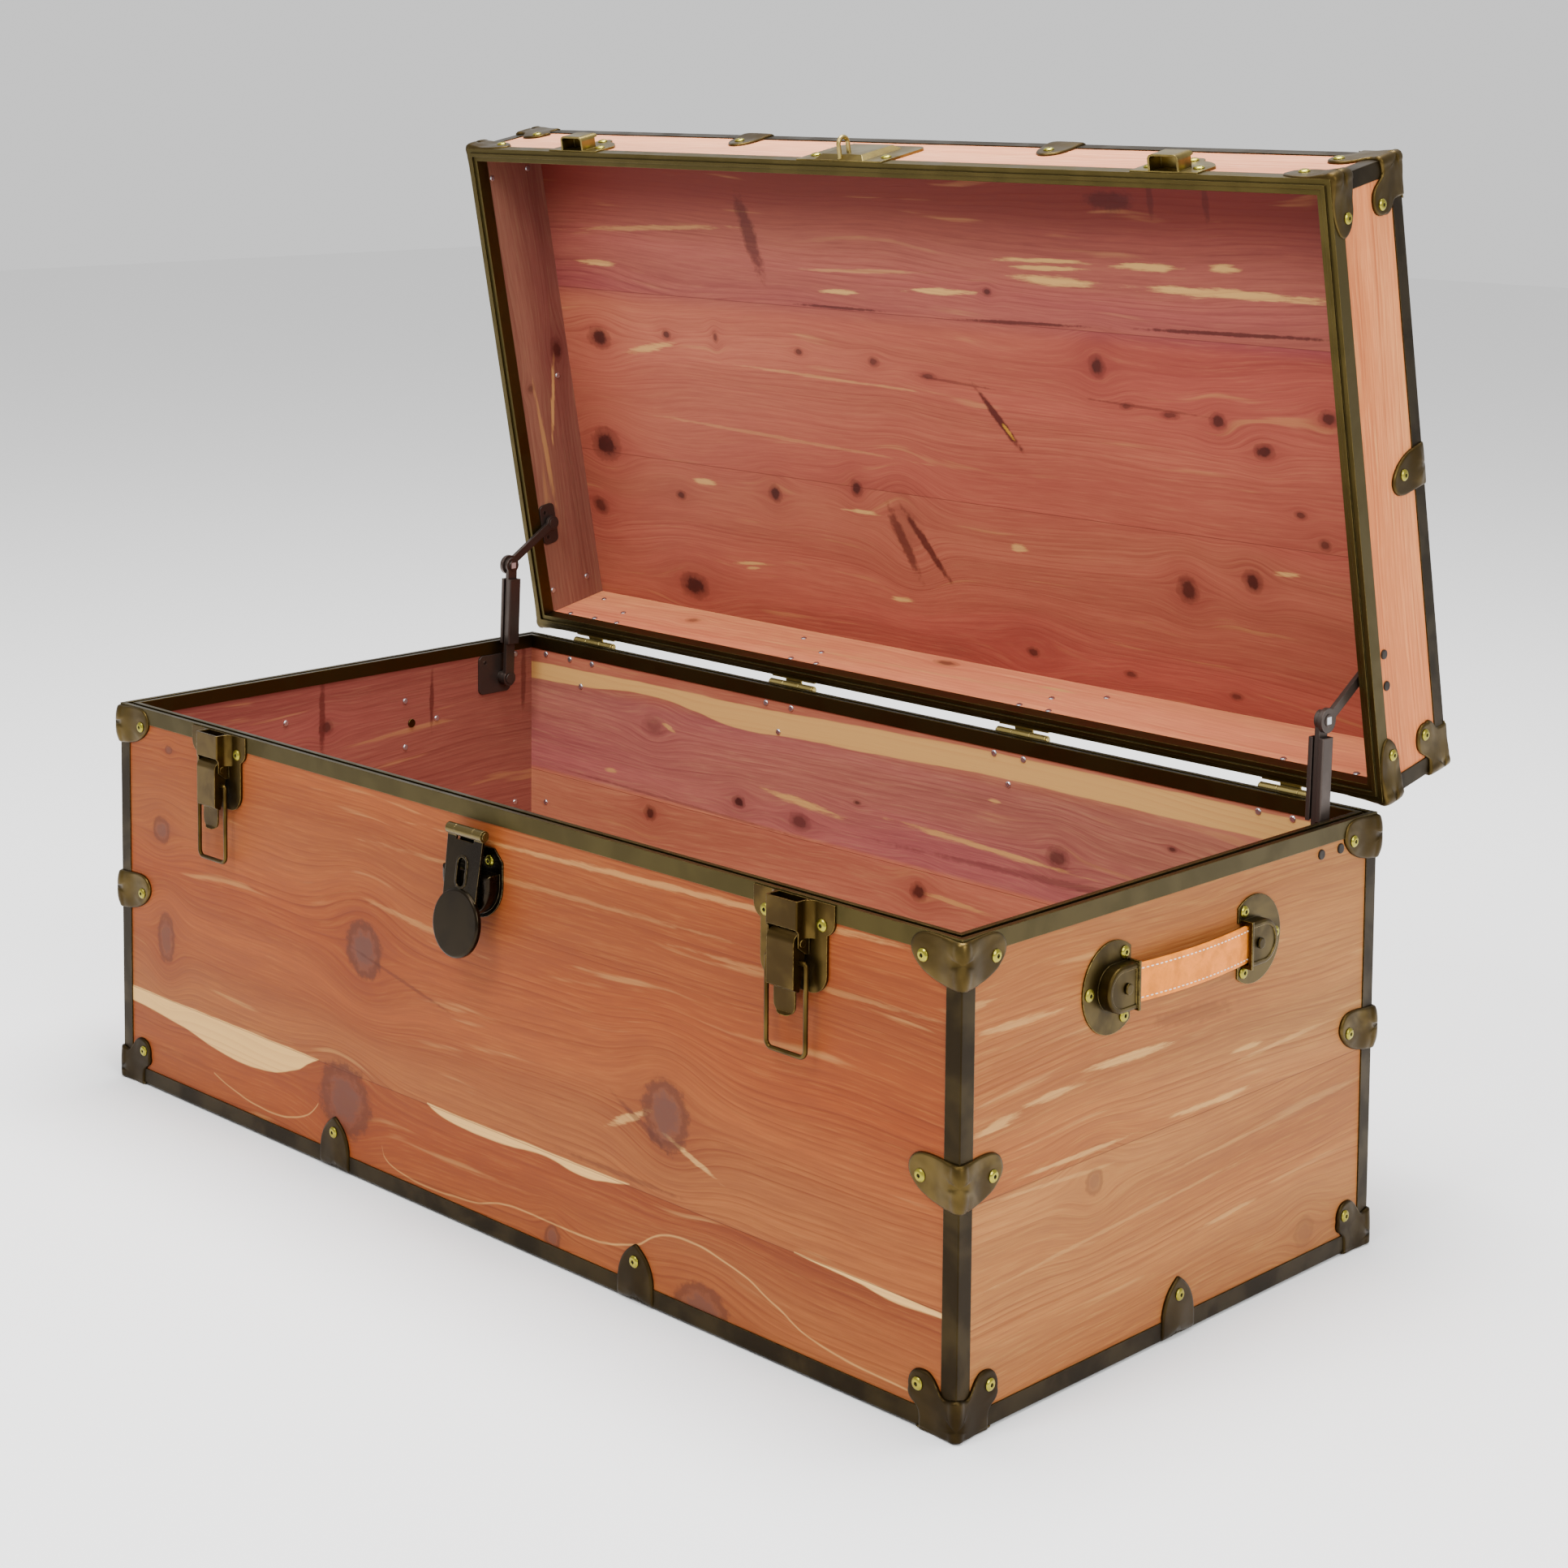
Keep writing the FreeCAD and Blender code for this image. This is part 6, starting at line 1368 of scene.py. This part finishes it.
# The stitches: rings along one and corners round it, half its height and half its width, its length as a
# share of the pitch, how high it sits as a share of the strap's thickness, and what a row leaves free at
# each end of the strap
STITCH_RINGS = 7
STITCH_CORNERS = 6
STITCH_HEIGHT = 0.35 * MM
STITCH_WIDTH = 0.5 * MM
STITCH_LENGTH = 0.62
STITCH_LIFT = 0.53
STITCH_FREE = 8 * MM

# How dark the mottling of the hide and the twist of the thread go
HIDE_DARK = 0.72
THREAD_DARK = 0.7


def tube_faces(rings, corners):
    """Faces of a tube from its rings of points: quads between neighbouring rings, and its two ends."""
    i, j = np.arange(corners), (np.arange(corners) + 1) % corners
    faces = []
    for ring in range(rings - 1):
        a, b = ring * corners, (ring + 1) * corners
        faces += list(zip(a + i, a + j, b + j, b + i))
    faces.append(tuple(reversed(range(corners))))
    faces.append(tuple((rings - 1) * corners + k for k in range(corners)))
    return faces


def strap_section(width, thickness):
    """Section of the strap: x = a |cos t|^0.34, z = b |sin t|^0.34, a squared-off oval, with b crowned a
    little towards its middle."""
    t = np.linspace(0, 2 * np.pi, STRAP_CORNERS, endpoint=False)
    c, s = np.cos(t), np.sin(t)
    across = width / 2 * np.sign(c) * np.abs(c) ** 0.34
    through = thickness / 2 * np.sign(s) * np.abs(s) ** 0.34
    crown = 1 + STRAP_CROWN * (1 - (across / (width / 2)) ** 2)
    return across, through * crown


class TRUNK_OT_handles(bpy.types.Operator):
    """Makes the stitched leather handles and finishes their brass loops"""
    bl_idname = "trunk.handles"
    bl_label = "Handles"

    def execute(self, context):
        sizes, colours = context.scene.trunk_sizes, context.scene.trunk_colours
        hide = self.leather(colours)
        thread = self.thread(colours)
        for side, sign in (("left", -1), ("right", 1)):
            low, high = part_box(side + "_handle_strap")
            self.strap(side, sign, low, high, sizes, hide, thread)
        dress(["left_handle_loops", "right_handle_loops", "handle_studs"],
              metal_material("handle brass", colours))
        return {"FINISHED"}

    def strap(self, side, sign, low, high, sizes, hide, thread):
        """A section carried along the strap's bowed line: x(y) = wall + end height + bow * shape(y)."""
        level = (low.z + high.z) / 2
        half = (high.y - low.y) / 2
        width, thick = sizes.strap_width, sizes.strap_thickness
        y = np.linspace(-half, half, STRAP_RINGS)
        across, through = strap_section(width, thick * STRAP_BODY)

        def centre(v):
            t = np.clip(v / STRAP_BEND, -1, 1)
            return HALF_LENGTH + STRAP_END_OFF + STRAP_BOW * (1 - t * t)

        slope = np.gradient(centre(y), y)
        length = np.sqrt(1 + slope ** 2)
        nx, ny = 1 / length, -slope / length
        x = centre(y)[:, None] + nx[:, None] * through
        yy = y[:, None] + ny[:, None] * through
        z = level + across + 0 * x
        points = np.stack([sign * x, yy, z], 2).reshape(-1, 3)
        faces = tube_faces(STRAP_RINGS, STRAP_CORNERS)
        if sign > 0:
            faces = [tuple(reversed(face)) for face in faces]
        piece = mesh_object(side + "_strap", points, faces, hide, "base")
        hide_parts(side + "_handle_strap")
        stitches = []
        for row in (-1, 1):
            z_row = level + row * (width / 2 - sizes.stitch_inset)
            for place in np.arange(-half + STITCH_FREE, half - STITCH_FREE, sizes.stitch_pitch):
                length = sizes.stitch_pitch * STITCH_LENGTH
                stitches.append(self.stitch(centre, place, z_row, length, thick, sign))
        points, faces = joined(stitches)
        if sign < 0:
            faces = [tuple(reversed(face)) for face in faces]
        mesh_object(side + "_strap_stitches", points, faces, thread, "base")

    @staticmethod
    def stitch(centre, start, z_row, length, thick, sign):
        """One stitch: a small ellipse section whose size follows sqrt(sin(pi t)) from end to end."""
        t = np.linspace(0.04, 0.96, STITCH_RINGS)
        v = start + length * t
        swell = np.sqrt(np.sin(np.pi * t))
        a = np.linspace(0, 2 * np.pi, STITCH_CORNERS, endpoint=False)
        out = centre(v) + thick * STITCH_LIFT
        x = out[:, None] + STITCH_HEIGHT * swell[:, None] * np.cos(a)
        z = z_row + STITCH_WIDTH * swell[:, None] * np.sin(a)
        y = np.repeat(v[:, None], STITCH_CORNERS, 1)
        points = np.stack([sign * x, y, z], 2).reshape(-1, 3)
        return points, [tuple(reversed(face)) for face in tube_faces(STITCH_RINGS, STITCH_CORNERS)]

    @staticmethod
    def leather(colours):
        """Vegetable-tanned hide: mottled tan with darker creases and fine pores."""
        made, board, shader, place = new_material("tan leather")
        mottle = board.noise(place, 60.0, 4.0, 0.6, 0.4)
        creases = board.noise(board.stretched(place, (1, 0.35, 1)), 900.0, 3.0, 0.6)
        dark = tuple(HIDE_DARK * c for c in colours.leather)
        base = board.blend(board.span(mottle, 0.35, 0.68), colours.leather, dark)
        creased = board.times(board.span(creases, 0.5, 0.75), 0.25)
        base = board.blend(creased, base, colours.crease)
        board.feed(shader["Base Color"], base)
        board.feed(shader["Roughness"], board.span(mottle, 0.3, 0.7, 0.5, 0.65))
        shader["Specular IOR Level"].default_value = 0.15
        pores = board.noise(place, 1600.0, 2.0, 0.5)
        height = board.scaled(creases, 0.6, pores)
        bump = board.put("ShaderNodeBump", {"Strength": 0.35, "Distance": 0.3 * MM, "Height": height})
        board.feed(shader["Normal"], bump.outputs[0])
        return made

    @staticmethod
    def thread(colours):
        """Waxed thread with a twist across each stitch."""
        made, board, shader, place = new_material("stitch thread")
        twist = board.noise(board.stretched(place, (1, 3, 1)), 700.0, 2.0, 0.5)
        dull = tuple(THREAD_DARK * c for c in colours.thread)
        board.feed(shader["Base Color"], board.blend(board.span(twist, 0.35, 0.65), dull, colours.thread))
        board.feed(shader["Roughness"], board.span(twist, 0.3, 0.7, 0.5, 0.75))
        return made


class TRUNK_PT_sidebar(bpy.types.Panel):
    """The trunk's steps and sizes in the sidebar"""
    bl_idname = "TRUNK_PT_sidebar"
    bl_label = "Cedar trunk"
    bl_space_type = "VIEW_3D"
    bl_region_type = "UI"
    bl_category = "Trunk"

    def draw(self, context):
        for step in STEPS:
            self.layout.operator(step.bl_idname)
        for group in (context.scene.trunk_sizes, context.scene.trunk_colours):
            for name in group.__annotations__:
                self.layout.prop(group, name)


STEPS = (TRUNK_OT_stage, TRUNK_OT_boards, TRUNK_OT_trim, TRUNK_OT_caps, TRUNK_OT_rivets, TRUNK_OT_hardware,
         TRUNK_OT_stays, TRUNK_OT_handles)
CLASSES = (TrunkSizes, TrunkColours) + STEPS + (TRUNK_PT_sidebar,)


def register():
    for item in CLASSES:
        bpy.utils.register_class(item)
    bpy.types.Scene.trunk_sizes = bpy.props.PointerProperty(type=TrunkSizes)
    bpy.types.Scene.trunk_colours = bpy.props.PointerProperty(type=TrunkColours)


def unregister():
    del bpy.types.Scene.trunk_sizes
    del bpy.types.Scene.trunk_colours
    for item in reversed(CLASSES):
        bpy.utils.unregister_class(item)


def main():
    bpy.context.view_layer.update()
    register()
    for step in ("stage", "boards", "trim", "caps", "rivets", "hardware", "stays", "handles"):
        getattr(bpy.ops.trunk, step)()


if __name__ == "__main__":
    main()
